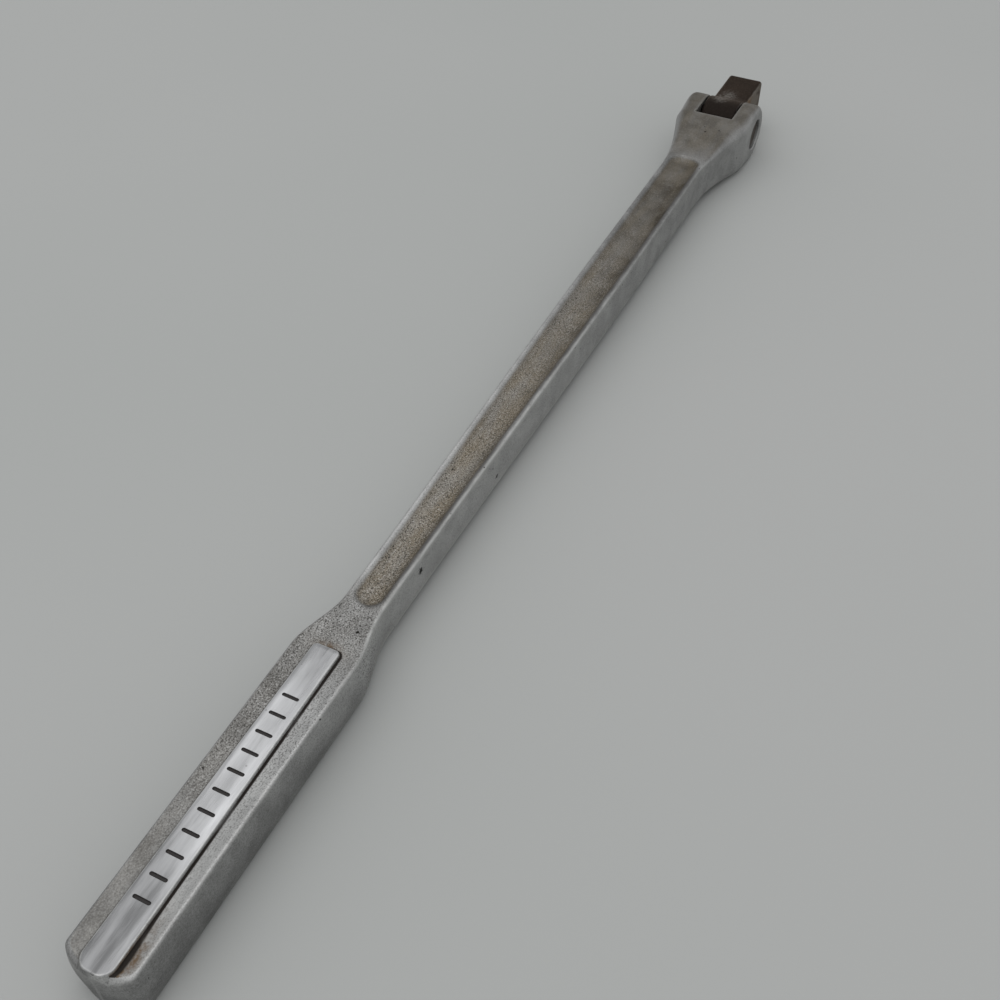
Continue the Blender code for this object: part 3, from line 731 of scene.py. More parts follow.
def handle_skin():
    mesh = bmesh.new()
    rings = [[mesh.verts.new(point) for point in ring_of(x)] for x in handle_stations()]
    for first, second in zip(rings, rings[1:]):
        bridge(mesh, first, second)
    mesh.faces.new(rings[0])

    last = rings[-1]
    quarter = TOP_COLUMNS + 1 + ARC_COLUMNS + SIDE_COLUMNS
    half = 2 * (quarter - 1)
    top = last[-SLOT_COLUMNS:] + last[:SLOT_COLUMNS + 1]
    bottom = [last[half + SLOT_COLUMNS - step] for step in range(2 * SLOT_COLUMNS + 1)]
    columns = []
    for low, high in zip(bottom, top):
        rows = [mesh.verts.new(low.co.lerp(high.co, row / SLOT_ROWS)) for row in range(1, SLOT_ROWS)]
        columns.append([low] + rows + [high])
    for first, second in zip(columns, columns[1:]):
        bridge(mesh, first, second, closed=False)

    add_ear(mesh, 1, last[SLOT_COLUMNS:half - SLOT_COLUMNS + 1], columns[-1][1:-1])
    mirrored = last[half + SLOT_COLUMNS:len(last) - SLOT_COLUMNS + 1]
    add_ear(mesh, -1, mirrored[::-1], columns[0][1:-1])
    return closed_object("forged_handle", mesh)


def engraving_tool():
    """A row of round-ended bars with sloped walls, to press into the panel."""
    mesh = bmesh.new()
    straight = BAR_LENGTH / 2 - BAR_WIDTH / 2
    for number in range(BAR_COUNT):
        x = BAR_FIRST + BAR_PITCH * number
        rings = []
        for height, share in ((-BAR_DEPTH, BAR_FLOOR_SHARE), (BAR_DEPTH, BAR_MOUTH_SHARE)):
            ends = arc((0, straight), share * BAR_WIDTH, 0, 180, BAR_END_STEPS)
            ends += arc((0, -straight), share * BAR_WIDTH, 180, 360, BAR_END_STEPS)
            rings.append([mesh.verts.new((x + a, b, PANEL_TOP + height)) for a, b in ends])
        bridge(mesh, rings[0], rings[1])
        mesh.faces.new(rings[0])
        mesh.faces.new(rings[1])
    return closed_object("engraved_bars", mesh)


def handle_masks(handle):
    """How pale the steel is from place to place, with painted shade in the groove and on the grip's sides
    and painted highlights and reflection on the panel, and where film, dirt, painted shade, rust, specks
    and wear lie on it.
    """
    x, y, z = bar_points(handle)
    face, thick, edge = np.abs(z), half_thickness(x), edge_radius(x)
    rim = half_width(x) - side_crown(x)
    side = ease(np.abs(y) - (rim - edge), SIDE_START * edge, SIDE_LENGTH * edge)
    right = ease(-y, *RIGHT_HALF)
    past_grip = ease(x, *PAST_GRIP)
    past_shoulder = ease(x, *PAST_SHOULDER)
    yoke = ease(x, *ON_YOKE)
    aged = ease(x, *AGED)
    in_groove = ease(groove_inset(x, y), *IN_GROOVE) * (face < thick)
    below_panel = face < PANEL_TOP - BELOW_PANEL
    in_trough = (trough_inset(x, y) > 0) & below_panel & (x < PANEL_END + TROUGH_OVERRUN)

    strip = mix(LEFT_STRIP, fade(-y, *RIGHT_STRIP), right) - fade(x, *STRIP_FALL)
    land = mix(mix(*LANDS, right), AGED_LAND, aged)
    yoke_tone = mix(*YOKE_TONES, ease(y, *LEFT_EAR_ACROSS) * ease(x, *LEFT_EAR_ALONG))
    tone = mix(mix(mix(strip, SHOULDER_TONE, past_grip), land, past_shoulder), yoke_tone, yoke)
    groove = fade(x, *GROOVE_TONE) - bump_at(x, *GROOVE_STAIN)
    # Painted shade: the groove is darker towards its right side
    tone = mix(tone, groove * fade(-y, *GROOVE_SHADE), in_groove)
    side_tone = mix(mix(fade(x, *SIDE_TONE), AGED_SIDE, aged), YOKE_SIDE, yoke)
    # Painted shade on the grip's sides: darker towards the bottom, lighter towards the top
    side_tone = side_tone * mix(fade(z, *GRIP_SIDE_SHADE), 1.0, past_shoulder)
    add_mask(handle, "tone", mix(tone, side_tone, side))

    film = np.maximum(in_groove * mix(1.0, AGED_FILM, aged), YOKE_FILM * yoke * (1 - side))
    film = np.maximum(film, TROUGH_FILM * in_trough * (1 - right))
    add_mask(handle, "film", np.maximum(film, SHOULDER_FILM * past_grip * (1 - past_shoulder) * (1 - side)))

    # Painted shade: a dark band along the groove's right edge and the land beside it
    groove_wall_shade = right * bump_at(groove_inset(x, y), *GROOVE_WALL_SHADE) * fade(x, *GROOVE_WALL_SHADE_FADE)
    # A dark band at the panel's foot, partly dirt and partly painted shade, widened by caked dirt near the
    # butt
    caked = FOOT_BAND_WIDTH + right * bump_at(x, *CAKED_DIRT)
    off_panel = -panel_inset(x, y)
    panel_foot_dirt_and_shade = ease(off_panel, 0.0, FOOT_BAND_RISE) * (1 - ease(off_panel, caked, caked))
    panel_foot_dirt_and_shade = panel_foot_dirt_and_shade * mix(*PANEL_FOOT_DIRT_AND_SHADE, right) * in_trough
    add_mask(handle, "dirt_and_shade", np.maximum(groove_wall_shade, panel_foot_dirt_and_shade))

    butt_rust = bump_at(x, *BUTT_RUST_ALONG) * bump_at(-y, *BUTT_RUST_ACROSS) * in_trough
    end_rust = bump_at(x, *END_RUST_ALONG) * bump_at(y, *END_RUST_ACROSS) * in_trough
    add_mask(handle, "rust", np.maximum(butt_rust, end_rust))

    specks = mix(*TROUGH_SPECKS, right) * in_trough * fade(x, *BUTT_SPECKS)
    specks = np.maximum(specks, bump_at(x, *SHOULDER_SPECKS))
    groove_specks = mix(fade(x, *MIDDLE_SPECKS), FAR_SPECKS, ease(x, *FAR_GROOVE))
    specks = np.maximum(specks, in_groove * groove_specks) * (1 - SIDE_SPECK_LOSS * side)
    specks = np.maximum(specks, right * side * bump_at(x, *SIDE_SPECKS))
    add_mask(handle, "speckle", np.maximum(specks, mix(*LEAST_SPECKS, yoke)))

    ridge = bump_at(rim - np.abs(y), *RIDGE_WEAR) * (face > RIDGE_FACE * thick)
    shank_wear = mix(1.0, AGED_RIDGE_WEAR, aged)
    ridge = ridge * right * mix(GRIP_RIDGE_WEAR, shank_wear, ease(x, *SHANK_RIDGE)) * (1 - yoke)
    panel_edge = bump_at(panel_inset(x, y), *PANEL_WEAR) * (face > PANEL_TOP - PANEL_WEAR_DEPTH)
    slot_edge = bump_at(slot_distance(x, y), *SLOT_WEAR) * (face > SLOT_FACE * thick)
    add_mask(handle, "rubbed", np.maximum.reduce([ridge, panel_edge, slot_edge]))

    # Painted highlights along the panel's sides, and a painted reflection that brightens it along the bar
    right_gleam = bump_at(y, *RIGHT_GLEAM) * fade(x, *RIGHT_GLEAM_FADE)
    left_gleam = bump_at(y, *LEFT_GLEAM) * fade(x, *LEFT_GLEAM_FADE)
    polish_and_sheen = PANEL_TONE + GLEAM * np.maximum(right_gleam, left_gleam)
    add_mask(handle, "polish_and_sheen", polish_and_sheen * fade(x, *PANEL_END_SHADE) * fade(x, *PANEL_REFLECTION))


def build_handle(finishes):
    handle = handle_skin()
    bars = engraving_tool()
    for item in (handle, bars):
        for finish in finishes:
            item.data.materials.append(finish)
    for polygon in handle.data.polygons:
        center = polygon.center
        on_panel = center.x < PANEL_END and abs(center.z) > PANEL_TOP - PANEL_POLISH_DEPTH
        polygon.material_index = PANEL_FINISH if on_panel else FORGED_FINISH
    for polygon in bars.data.polygons:
        polygon.material_index = FILL_FINISH

    reach = YOKE_WIDTH / 2
    wide = PIN_BORE_RADIUS + PIN_BORE_CHAMFER + CUT_MARGIN
    inner = reach - PIN_BORE_CHAMFER
    profile = [(0, reach + CUT_MARGIN), (wide, reach + CUT_MARGIN), (PIN_BORE_RADIUS, inner)]
    profile += [(radius, -height) for radius, height in reversed(profile)]
    pin_bore = turned("ear_pin_bore", profile, PIN_BORE_STEPS, axis="Y")
    pin_bore.location = (PIVOT_X, 0, 0)
    deep, mouth = SLOT_BOTTOM - PLUNGER_BORE_DEPTH, SLOT_BOTTOM + CUT_MARGIN
    plunger_bore = bore_tool("plunger_bore", PLUNGER_BORE_RADIUS, deep, mouth, BORE_STEPS, "X")
    cut(handle, (bars, pin_bore, plunger_bore), FORGED_SHARP_ANGLE)
    handle.data.transform(LIE)
    handle_masks(handle)
    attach(handle, "bar")
    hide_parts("handle")


# Drive head, pin and ball

def head_outline():
    """The drive head from the side, about its pivot: a round tongue that blends into the square tang."""
    reach = TONGUE_RADIUS + TONGUE_FILLET
    rise = TANG_HALF + TONGUE_FILLET
    blend_x = math.sqrt(reach ** 2 - rise ** 2)
    blend_angle = math.degrees(math.atan2(rise, blend_x))
    corner = TANG_TIP_RADIUS
    upper = arc((TANG_REACH - corner, TANG_HALF - corner), corner, 0, 90, TANG_TIP_STEPS)
    upper += arc((blend_x, rise), TONGUE_FILLET, 270, 180 + blend_angle, TONGUE_FILLET_STEPS)
    tongue = arc((0, 0), TONGUE_RADIUS, blend_angle, 360 - blend_angle, TONGUE_STEPS)[1:-1]
    corners = upper + tongue + [(x, -z) for x, z in reversed(upper)]
    outline = []
    for start, end in zip(corners, corners[1:] + corners[:1]):
        pieces = max(1, round(math.dist(start, end) / HEAD_POINT_SPACING))
        for share in [piece / pieces for piece in range(pieces)]:
            outline.append((mix(start[0], end[0], share), mix(start[1], end[1], share)))
    return np.array(outline)


def draw_in(outline, inset):
    """The outline moved inwards along its corners' bisectors."""
    edges = np.roll(outline, -1, axis=0) - outline
    edges = edges / np.linalg.norm(edges, axis=1)[:, None]
    inward = np.c_[-edges[:, 1], edges[:, 0]]
    bisector = inward + np.roll(inward, 1, axis=0)
    return outline + bisector * (2 * inset / (bisector ** 2).sum(axis=1))[:, None]


def head_masks(head):
    """Where the head is rubbed at its edges, scuffed grey on its hump, painted blackest as shade on the
    tongue's back, worn brown or rusty.
    """
    x, y, z = bar_points(head)
    out = np.hypot(x - PIVOT_X, z)
    on_tongue = x < PIVOT_X + TONGUE_RADIUS
    from_outline = np.where(on_tongue, TONGUE_RADIUS - out, TANG_HALF - np.abs(z))
    from_outline = np.minimum(from_outline, PIVOT_X + TANG_REACH - x)
    from_edge = np.maximum(from_outline, TANG_HALF - np.abs(y))
    side = ease(np.abs(y), *TANG_SIDE_ACROSS) * ease(x, *TANG_SIDE_ALONG)
    scuffed = ease(x, *SCUFF_START) * (1 - ease(x, *SCUFF_END))
    add_mask(head, "rubbed", bump_at(from_edge, *HEAD_EDGE_WEAR))
    add_mask(head, "scuffed", scuffed * bump_at(y, *SCUFF_ACROSS) * (z > 0))
    # Painted shade: the tongue's back, down by the slot, is painted blackest
    add_mask(head, "black", 1 - ease(x, *TONGUE_BLACK_END))
    add_mask(head, "worn", side)
    add_mask(head, "rust", side * bump_at(x, *TANG_RUST_ALONG))


def build_drive_head(finish):
    outline = head_outline()
    rounded = []
    for turn in np.radians(np.linspace(0, 90, HEAD_EDGE_PLACES)):
        inset = HEAD_EDGE_RADIUS * (1 - math.cos(turn))
        rounded.append((TANG_HALF - HEAD_EDGE_RADIUS * (1 - math.sin(turn)), inset))
    side = rounded + [(TANG_HALF, HEAD_EDGE_RADIUS + HEAD_RIM)]
    across = np.linspace(-1, 1, HEAD_COLUMNS)[1:-1] * (TANG_HALF - HEAD_EDGE_RADIUS)
    loops = [(-y, inset) for y, inset in reversed(side)]
    loops += [(y, 0.0) for y in across] + side

    mesh = bmesh.new()
    rings = []
    for y, inset in loops:
        rings.append([mesh.verts.new((PIVOT_X + a, y, b)) for a, b in draw_in(outline, inset)])
    for first, second in zip(rings, rings[1:]):
        bridge(mesh, first, second)
    mesh.faces.new(rings[0])
    mesh.faces.new(rings[-1])
    for x in np.linspace(-TONGUE_RADIUS, TANG_REACH, HEAD_SLICES + 2)[1:-1]:
        everything = mesh.verts[:] + mesh.edges[:] + mesh.faces[:]
        bmesh.ops.bisect_plane(mesh, geom=everything, dist=MERGE_DISTANCE, plane_co=(PIVOT_X + x, 0, 0),
                               plane_no=(1, 0, 0))
    head = closed_object("oxide_drive_head", mesh)

    reach = TANG_HALF + CUT_MARGIN
    pin_bore = bore_tool("tongue_pin_bore", PIN_BORE_RADIUS, -reach, reach, PIN_BORE_STEPS, "Y")
    pin_bore.location = (PIVOT_X, 0, 0)
    top = DETENT_BORE_DEPTH
    profile = [(0, top), (DETENT_BORE_RADIUS, top), (DETENT_BORE_RADIUS, DETENT_LIP)]
    profile += [(DETENT_MOUTH_RADIUS, DETENT_LIP), (DETENT_MOUTH_RADIUS, -CUT_MARGIN), (0, -CUT_MARGIN)]
    detent_bore = turned("detent_bore", profile, BORE_STEPS)
    detent_bore.location = (DETENT_X, 0, -TANG_HALF)
    cut(head, (pin_bore, detent_bore), HEAD_SHARP_ANGLE)
    head.data.materials.append(finish)
    head.data.transform(LIE)
    head_masks(head)
    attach(head, "head")
    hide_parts("drive_head")


def build_pin(finish):
    half = YOKE_WIDTH / 2 - PIN_RECESS
    rim = PIN_RADIUS - PIN_CHAMFER
    bevel = PIN_BEVEL_SHARE * PIN_CHAMFER
    profile = [(rim * share, half - PIN_DISH * (1 - share ** 2)) for share in PIN_FACE_SHARES]
    profile += [(PIN_RADIUS - bevel, half - bevel), (PIN_RADIUS, half - PIN_CHAMFER)]
    profile += [(radius, -height) for radius, height in reversed(profile)]
    pin = turned("pivot_pin_dressed", profile, PIN_STEPS, axis="Y")
    settle(pin, FORGED_SHARP_ANGLE)
    pin.data.materials.append(finish)
    pin.data.transform(LIE @ Matrix.Translation((PIVOT_X, 0, 0)))
    x, _, z = bar_points(pin)
    out = np.hypot(x - PIVOT_X, z)
    add_mask(pin, "rubbed", bump_at(out, rim, PIN_RIM_WEAR))
    add_mask(pin, "grime", bump_at(out, PIN_RADIUS, PIN_GRIME_SPREAD))
    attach(pin, "bar")
    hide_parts("pivot_pin")


def build_ball(finish):
    mesh = bmesh.new()
    bmesh.ops.create_uvsphere(mesh, u_segments=BALL_SEGMENTS, v_segments=BALL_RINGS, radius=BALL_RADIUS)
    ball = object_from_bmesh("detent_ball_dressed", mesh)
    settle(ball, BALL_SHARP_ANGLE)
    ball.data.materials.append(finish)
    place = (DETENT_X, 0, BALL_RADIUS - BALL_PROUD - TANG_HALF)
    ball.data.transform(LIE @ Matrix.Translation(place))
    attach(ball, "detent")
    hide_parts("socket_detent_ball")


def build_spring(name, node, body, finish):
    """A spring copied from its part, with a finish and smooth shading, that rides with the body it sits in.
    """
    data = frame["nodes"][node].data.copy()
    data.materials.clear()
    data.materials.append(finish)
    data.shade_smooth()
    spring = add_object(name, data)
    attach(spring, body)
    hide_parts(node)
    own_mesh(spring)


def build_springs(finish):
    build_spring("friction_spring_dressed", "friction_spring", "bar",
                 finish)
    build_spring("detent_spring_dressed", "socket_detent_spring", "head", finish)


# Helpers for finishes

def set_inputs(tree, node, inputs):
    """Give a node's inputs plain values, or links from other sockets."""
    for name, value in inputs.items():
        if isinstance(value, bpy.types.NodeSocket):
            tree.links.new(value, node.inputs[name])
        else:
            node.inputs[name].default_value = value


def new_node(tree, kind, inputs, **settings):
    node = tree.nodes.new("ShaderNode" + kind)
    for name, value in settings.items():
        setattr(node, name, value)
    set_inputs(tree, node, inputs)
    return node


def arithmetic(tree, operation, first, second):
    return new_node(tree, "Math", {0: first, 1: second}, operation=operation).outputs[0]


def times(tree, first, second):
    return arithmetic(tree, "MULTIPLY", first, second)


def rescale(tree, value, span, to=(0.0, 1.0)):
    """Carry a span of values smoothly over to another."""
    inputs = {"Value": value, "From Min": span[0], "From Max": span[1], "To Min": to[0], "To Max": to[1]}
    return new_node(tree, "MapRange", inputs, interpolation_type="SMOOTHSTEP").outputs[0]


def blend(tree, share, first, second):
    """Mix two colours."""
    node = new_node(tree, "Mix", {0: share, 6: first, 7: second}, data_type="RGBA")
    return node.outputs[2]


def coat(tree, base, layers):
    """Lay colours over a base one after another, each as far as its share says."""
    for share, paint in layers:
        base = blend(tree, share, base, paint)
    return base


def noise(tree, vector, scale, detail, roughness):
    inputs = {"Vector": vector, "Scale": scale, "Detail": detail, "Roughness": roughness}
    return new_node(tree, "TexNoise", inputs).outputs["Fac"]


def stretched(tree, vector, scale):
    return new_node(tree, "Mapping", {"Vector": vector, "Scale": scale}).outputs["Vector"]


def mask(tree, name):
    return new_node(tree, "Attribute", {}, attribute_name=name).outputs["Fac"]


def color(red, green, blue):
    return (red, green, blue, 1.0)


def new_group(name, inputs, outputs):
    group = bpy.data.node_groups.new(name, "ShaderNodeTree")
    for socket, kind in inputs.items():
        group.interface.new_socket(socket, in_out="INPUT", socket_type=kind)
    for socket in outputs:
        group.interface.new_socket(socket, in_out="OUTPUT", socket_type="NodeSocketFloat")
    return group, group.nodes.new("NodeGroupInput").outputs, group.nodes.new("NodeGroupOutput")


def grain_of(tree, place, scale):
    return new_node(tree, "Group", {"Vector": place, "Scale": scale}, node_tree=steel_grain).outputs


def broken_up(tree, group, name, place, scale):
    """A mask of the piece, broken up by a shared effect."""
    inputs = {"Mask": mask(tree, name), "Vector": place, "Scale": scale}
    return new_node(tree, "Group", inputs, node_tree=group).outputs[0]


def new_finish(name):
    """A material with its shader, and the coordinates of the piece it is on."""
    material = bpy.data.materials.new(name)
    material.use_nodes = True
    tree = material.node_tree
    coordinates = tree.nodes.new("ShaderNodeTexCoord").outputs["Object"]
    return material, tree, tree.nodes["Principled BSDF"], coordinates


def raise_grain(tree, shader, height, strength, distance):
    inputs = {"Height": height, "Strength": strength, "Distance": distance}
    bump = new_node(tree, "Bump", inputs)
    tree.links.new(bump.outputs["Normal"], shader.inputs["Normal"])


# Shared effects

def make_steel_grain():
    """Broad mottling, fine grain and scattered pits of a tumbled forging."""
    sockets = {"Vector": "NodeSocketVector", "Scale": "NodeSocketFloat"}
    group, given, out = new_group("steel_grain", sockets, ("Tone", "Grain", "Pits"))
    place, scale = given["Vector"], given["Scale"]
    broad = noise(group, place, times(group, scale, BROAD_SCALE_SHARE), detail=4.0, roughness=0.6)
    tone = rescale(group, broad, (0.3, 0.7))
    grain = noise(group, place, scale, detail=3.0, roughness=0.65)
    inputs = {"Vector": place, "Scale": times(group, scale, PIT_SCALE_SHARE), "Randomness": 1.0}
    cells = new_node(group, "TexVoronoi", inputs)
    chance = new_node(group, "SeparateColor", {"Color": cells.outputs["Color"]}).outputs[0]
    round_pit = rescale(group, cells.outputs["Distance"], (0.09, 0.05))
    pits = times(group, round_pit, rescale(group, chance, (0.5, 0.8)))
    set_inputs(group, out, {"Tone": tone, "Grain": grain, "Pits": pits})
    return group


def make_patchy(name, result, detail, roughness, span, to):
    """Break up a mask with noise, so that what lies there looks patchy."""
    sockets = {"Mask": "NodeSocketFloat", "Vector": "NodeSocketVector", "Scale": "NodeSocketFloat"}
    group, given, out = new_group(name, sockets, (result,))
    patches = noise(group, given["Vector"], given["Scale"], detail, roughness)
    set_inputs(group, out, {result: times(group, given["Mask"], rescale(group, patches, span, to))})
    return group


steel_grain = make_steel_grain()
rubbed_edges = make_patchy("rubbed_edges", "Wear", detail=4.0, roughness=0.65, span=(0.25, 0.65),
                           to=(0.25, 1.0))
settled_grime = make_patchy("settled_grime", "Grime", detail=5.0, roughness=0.6, span=(0.28, 0.68),
                            to=(0.15, 1.0))


# Finishes

def nicks(tree, place):
    """Ragged dark spots where the bar has been knocked."""
    lumps = noise(tree, place, scale=1600.0, detail=3.0, roughness=0.6)
    ragged = rescale(tree, lumps, (0.2, 0.8), to=(0.5, 1.5))
    spots = 0.0
    for x, y, z, size in NICKS:
        inputs = {0: place, 1: LIE @ Vector((x, y, z))}
        away = new_node(tree, "VectorMath", inputs, operation="DISTANCE").outputs["Value"]
        spot = rescale(tree, times(tree, away, ragged), (size, size / 2))
        spots = arithmetic(tree, "MAXIMUM", spots, spot)
    return spots


def make_forged_steel():
    material, tree, shader, place = new_finish("tumbled_forged_steel")
    lengthwise = stretched(tree, place, (0.25, 1.0, 1.0))
    grain = grain_of(tree, place, scale=2600.0)
    wear = broken_up(tree, rubbed_edges, "rubbed", lengthwise, scale=900.0)
    rust = broken_up(tree, settled_grime, "rust", place, scale=700.0)
    streaks = noise(tree, lengthwise, scale=300.0, detail=4.0, roughness=0.6)
    film = times(tree, mask(tree, "film"), rescale(tree, streaks, (0.3, 0.7), to=(0.45, 0.85)))
    dirt_and_shade = times(tree, mask(tree, "dirt_and_shade"), rescale(tree, streaks, (0.25, 0.6), to=(0.6, 1.0)))
    dirt_and_shade = rescale(tree, dirt_and_shade, (0.05, 0.85))
    dots = noise(tree, place, scale=2900.0, detail=2.0, roughness=0.6)
    dark_dots = times(tree, rescale(tree, dots, (0.5, 0.36), to=(0.0, 0.92)), mask(tree, "speckle"))
    pale_dots = times(tree, rescale(tree, dots, (0.54, 0.7), to=(0.0, 0.5)), mask(tree, "speckle"))
    holes = arithmetic(tree, "MAXIMUM", grain["Pits"], nicks(tree, place))

    mottling = rescale(tree, grain["Tone"], (0.0, 1.0), to=(-0.04, 0.04))
    tone = arithmetic(tree, "ADD", mask(tree, "tone"), mottling)
    steel = coat(tree, blend(tree, tone, BLACK, color(1.0, 1.0, 0.985)), (
        (film, color(0.235, 0.195, 0.138)),
        (dark_dots, color(0.045, 0.042, 0.038)),
        (pale_dots, color(0.62, 0.62, 0.61)),
        (wear, color(0.6, 0.6, 0.585)),
        (rust, color(0.13, 0.082, 0.042)),
        # Near-black: dirt and painted shade at the panel's foot, and painted shade at the groove's right
        # wall
        (dirt_and_shade, color(0.022, 0.018, 0.015)),
        (holes, color(0.018, 0.016, 0.014)),
    ))
    covered = arithmetic(tree, "MAXIMUM", rust, dirt_and_shade)
    dull = arithmetic(tree, "MAXIMUM", times(tree, film, FILM_DULLNESS), covered)
    metallic = rescale(tree, dull, (0.0, 1.0), to=(1.0, 0.2))
    roughness = rescale(tree, grain["Grain"], GRAIN_SPAN, to=SATIN)
    roughness = arithmetic(tree, "SUBTRACT", roughness, times(tree, wear, WEAR_SHINE))
    roughness = arithmetic(tree, "ADD", roughness, times(tree, dull, DULL_ROUGHNESS))
    set_inputs(tree, shader, {"Base Color": steel, "Metallic": metallic, "Roughness": roughness,
                              "Specular IOR Level": LOW_SPECULAR})
    height = arithmetic(tree, "SUBTRACT", grain["Grain"], holes)
    raise_grain(tree, shader, height, strength=0.45, distance=0.00012)
    return material


def make_polished_panel():
    material, tree, shader, place = new_finish("polished_panel_steel")
    grain = grain_of(tree, place, scale=2600.0)
    wear = broken_up(tree, rubbed_edges, "rubbed", place, scale=600.0)
    lines = noise(tree, stretched(tree, place, (0.03, 1.0, 1.0)), scale=5200.0, detail=3.0, roughness=0.6)
    clouds = noise(tree, stretched(tree, place, (0.14, 1.0, 1.0)), scale=420.0, detail=4.0, roughness=0.6)
    mottling = rescale(tree, clouds, (0.32, 0.68), to=(-0.08, 0.08))
    # The panel's tone carries its painted highlights and painted reflection
    tone = arithmetic(tree, "ADD", mask(tree, "polish_and_sheen"), mottling)
    steel = coat(tree, blend(tree, tone, BLACK, color(0.98, 0.985, 1.0)), (
        (rescale(tree, lines, (0.55, 0.85), to=(0.0, 0.45)), color(0.22, 0.22, 0.225)),
        (times(tree, grain["Pits"], PANEL_PITS), color(0.08, 0.075, 0.07)),
        (wear, color(0.6, 0.6, 0.59)),
    ))
    roughness = rescale(tree, clouds, (0.3, 0.7), to=(0.24, 0.36))
    set_inputs(tree, shader, {"Base Color": steel, "Metallic": 1.0, "Roughness": roughness})
    raise_grain(tree, shader, lines, strength=0.12, distance=0.00004)
    return material


def make_engraved_fill():
    material, tree, shader, place = new_finish("engraving_dark_fill")
    patches = noise(tree, place, scale=1500.0, detail=3.0, roughness=0.6)
    share = rescale(tree, patches, (0.3, 0.7))
    fill = blend(tree, share, color(0.01, 0.008, 0.008), color(0.03, 0.026, 0.024))
    roughness = rescale(tree, patches, (0.3, 0.7), to=(0.6, 0.85))
    set_inputs(tree, shader, {"Base Color": fill, "Roughness": roughness})
    raise_grain(tree, shader, patches, strength=0.3, distance=0.0001)
    return material


def make_dark_oxide():
    material, tree, shader, place = new_finish("dark_oxide_steel")
    grain = grain_of(tree, place, scale=2200.0)
    edges = broken_up(tree, rubbed_edges, "rubbed", place, scale=420.0)
    scuffs = broken_up(tree, settled_grime, "scuffed", place, scale=1100.0)
    worn = broken_up(tree, settled_grime, "worn", place, scale=260.0)
    rust = broken_up(tree, settled_grime, "rust", place, scale=500.0)
    oxide = blend(tree, grain["Tone"], color(0.0105, 0.0066, 0.0046), color(0.0195, 0.0124, 0.0088))
    oxide = coat(tree, oxide, (
        # Painted shade on the tongue's back
        (mask(tree, "black"), color(0.0125, 0.0095, 0.008)),
        (rescale(tree, grain["Grain"], (0.5, 0.8), to=(0.0, 0.3)), color(0.06, 0.048, 0.041)),
        (rescale(tree, scuffs, (0.1, 0.8), to=(0.0, 0.85)), color(0.135, 0.127, 0.118)),
        (rescale(tree, worn, (0.0, 0.75), to=(0.0, 0.9)), color(0.15, 0.138, 0.122)),
        (rust, color(0.14, 0.085, 0.042)),
        (rescale(tree, edges, (0.25, 1.0), to=(0.0, 0.7)), color(0.17, 0.165, 0.155)),
    ))
    roughness = rescale(tree, grain["Grain"], GRAIN_SPAN, to=SATIN)
    set_inputs(tree, shader, {"Base Color": oxide, "Metallic": OXIDE_METALLIC, "Roughness": roughness,
                              "Specular IOR Level": LOW_SPECULAR, "Specular Tint": color(0.93, 0.82, 0.73)})
    height = arithmetic(tree, "SUBTRACT", grain["Grain"], grain["Pits"])
    raise_grain(tree, shader, height, strength=0.35, distance=0.0001)
    return material


def make_pin_finish():
    material, tree, shader, place = new_finish("dull_pin_steel")
    grain = grain_of(tree, place, scale=2400.0)
    wear = broken_up(tree, rubbed_edges, "rubbed", place, scale=700.0)
    grime = broken_up(tree, settled_grime, "grime", place, scale=700.0)
    steel = blend(tree, grain["Tone"], color(0.035, 0.028, 0.022), color(0.07, 0.055, 0.044))
    steel = coat(tree, steel, (
        (grime, color(0.01, 0.008, 0.007)),
        (times(tree, wear, PIN_WEAR), color(0.2, 0.19, 0.18)),
    ))
    roughness = rescale(tree, grain["Grain"], GRAIN_SPAN, to=(0.65, 0.5))
    set_inputs(tree, shader, {"Base Color": steel, "Metallic": OXIDE_METALLIC, "Roughness": roughness})
    raise_grain(tree, shader, grain["Grain"], strength=0.3, distance=0.0001)
    return material


def make_bare_steel(name, scale, dark, pale, roughness):
    material, tree, shader, place = new_finish(name)
    grain = grain_of(tree, place, scale)
    steel = blend(tree, grain["Tone"], dark, pale)
    roughness = rescale(tree, grain["Grain"], GRAIN_SPAN, to=roughness)
    set_inputs(tree, shader, {"Base Color": steel, "Metallic": 1.0, "Roughness": roughness})
    return material


def dress_plunger(finish):
    """The plunger keeps its own shape and takes a finish."""
    plunger = frame["nodes"]["friction_plunger"]
    plunger.data.materials.clear()
    plunger.data.materials.append(finish)


# Stage, light and camera

def make_floor():
    mesh = bmesh.new()
    bmesh.ops.create_grid(mesh, x_segments=1, y_segments=1, size=FLOOR_SIZE / 2)
    floor = object_from_bmesh("bench_floor", mesh)
    material, tree, shader, place = new_finish("pale_bench")
    clouds = rescale(tree, noise(tree, place, scale=3.0, detail=2.0, roughness=0.5), (0.3, 0.7))
    paint = blend(tree, clouds, color(0.385, 0.395, 0.385), color(0.405, 0.41, 0.402))
    set_inputs(tree, shader, {"Base Color": paint, "Roughness": FLOOR_ROUGHNESS})
    floor.data.materials.append(material)


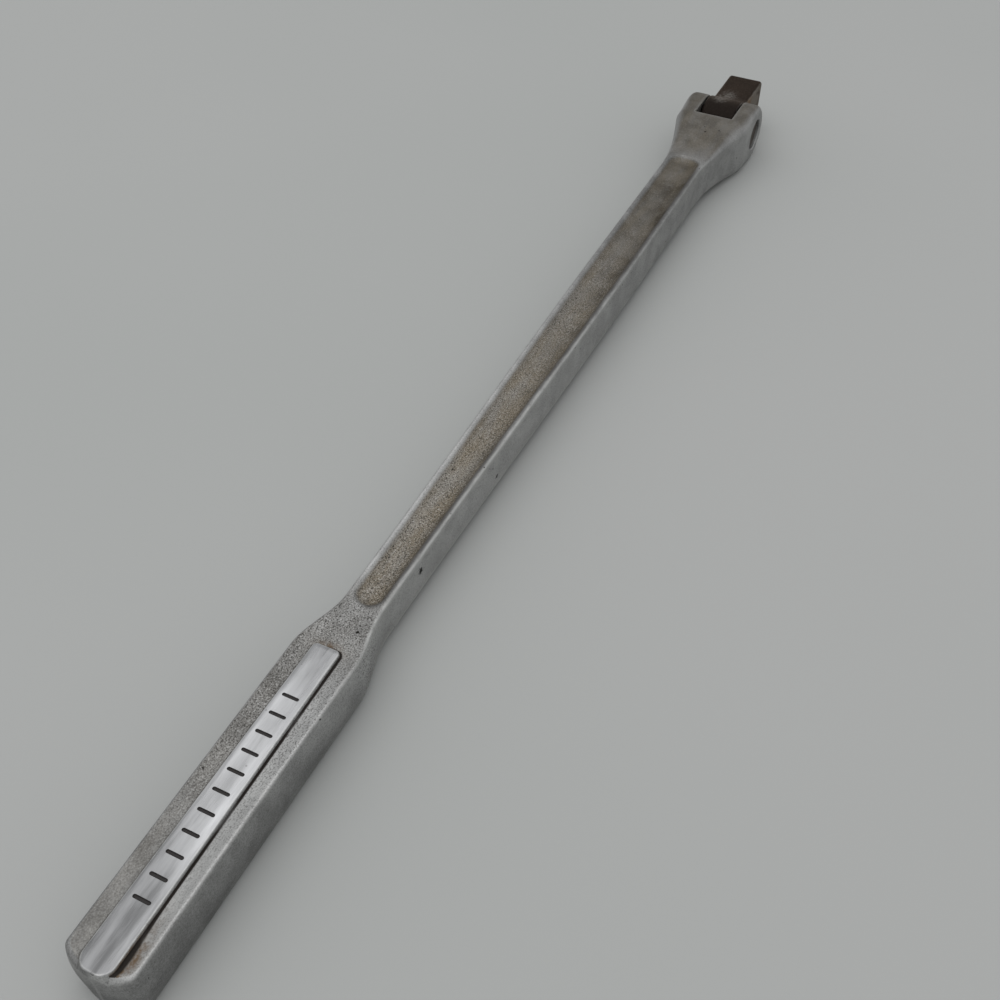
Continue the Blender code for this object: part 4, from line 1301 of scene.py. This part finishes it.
def make_lamp():
    data = bpy.data.lights.new("overhead_softbox", "AREA")
    data.shape = "RECTANGLE"
    data.size, data.size_y = SOFTBOX_SIZE
    data.energy = SOFTBOX_POWER
    lamp = add_object("overhead_softbox", data)
    lamp.location = SOFTBOX_PLACE
    lamp.rotation_euler = (Vector(SOFTBOX_AIM) - Vector(SOFTBOX_PLACE)).to_track_quat("-Z", "Y").to_euler()


def make_world():
    world = bpy.data.worlds.new("soft_room")
    world.use_nodes = True
    background = world.node_tree.nodes["Background"]
    background.inputs["Color"].default_value = color(0.98, 0.99, 1.0)
    background.inputs["Strength"].default_value = WORLD_STRENGTH
    bpy.context.scene.world = world


def make_camera():
    data = bpy.data.cameras.new("bench_view")
    data.sensor_width = SENSOR_WIDTH
    data.lens = SENSOR_WIDTH * CAMERA_FOCAL_PIXELS / PHOTO_SIZE
    data.clip_start = CAMERA_CLIP_START
    camera = add_object("bench_view", data)
    pitch, yaw, roll = np.radians(CAMERA_PITCH_YAW_ROLL)
    forward = Vector((math.cos(pitch) * math.cos(yaw), math.cos(pitch) * math.sin(yaw), -math.sin(pitch)))
    right = Vector((math.sin(yaw), -math.cos(yaw), 0))
    up = right.cross(forward)
    right, up = (math.cos(roll) * right + math.sin(roll) * up, math.cos(roll) * up - math.sin(roll) * right)
    turn = Matrix((right, up, -forward)).transposed()
    camera.matrix_world = Matrix.Translation(CAMERA_PLACE) @ turn.to_4x4()
    bpy.context.scene.camera = camera


build_handle([make_forged_steel(), make_polished_panel(), make_engraved_fill()])
hardened_steel = make_bare_steel("hardened_polished_steel", scale=1800.0, dark=color(0.42, 0.42, 0.41),
                                 pale=color(0.56, 0.56, 0.55), roughness=(0.2, 0.32))
spring_wire = make_bare_steel("oiled_spring_wire", scale=3000.0, dark=color(0.14, 0.14, 0.15),
                              pale=color(0.24, 0.24, 0.25), roughness=(0.3, 0.45))
build_drive_head(make_dark_oxide())
build_pin(make_pin_finish())
build_ball(hardened_steel)
build_springs(spring_wire)
dress_plunger(hardened_steel)
make_floor()
make_world()
make_lamp()
make_camera()
bpy.context.scene.view_settings.view_transform = "Standard"
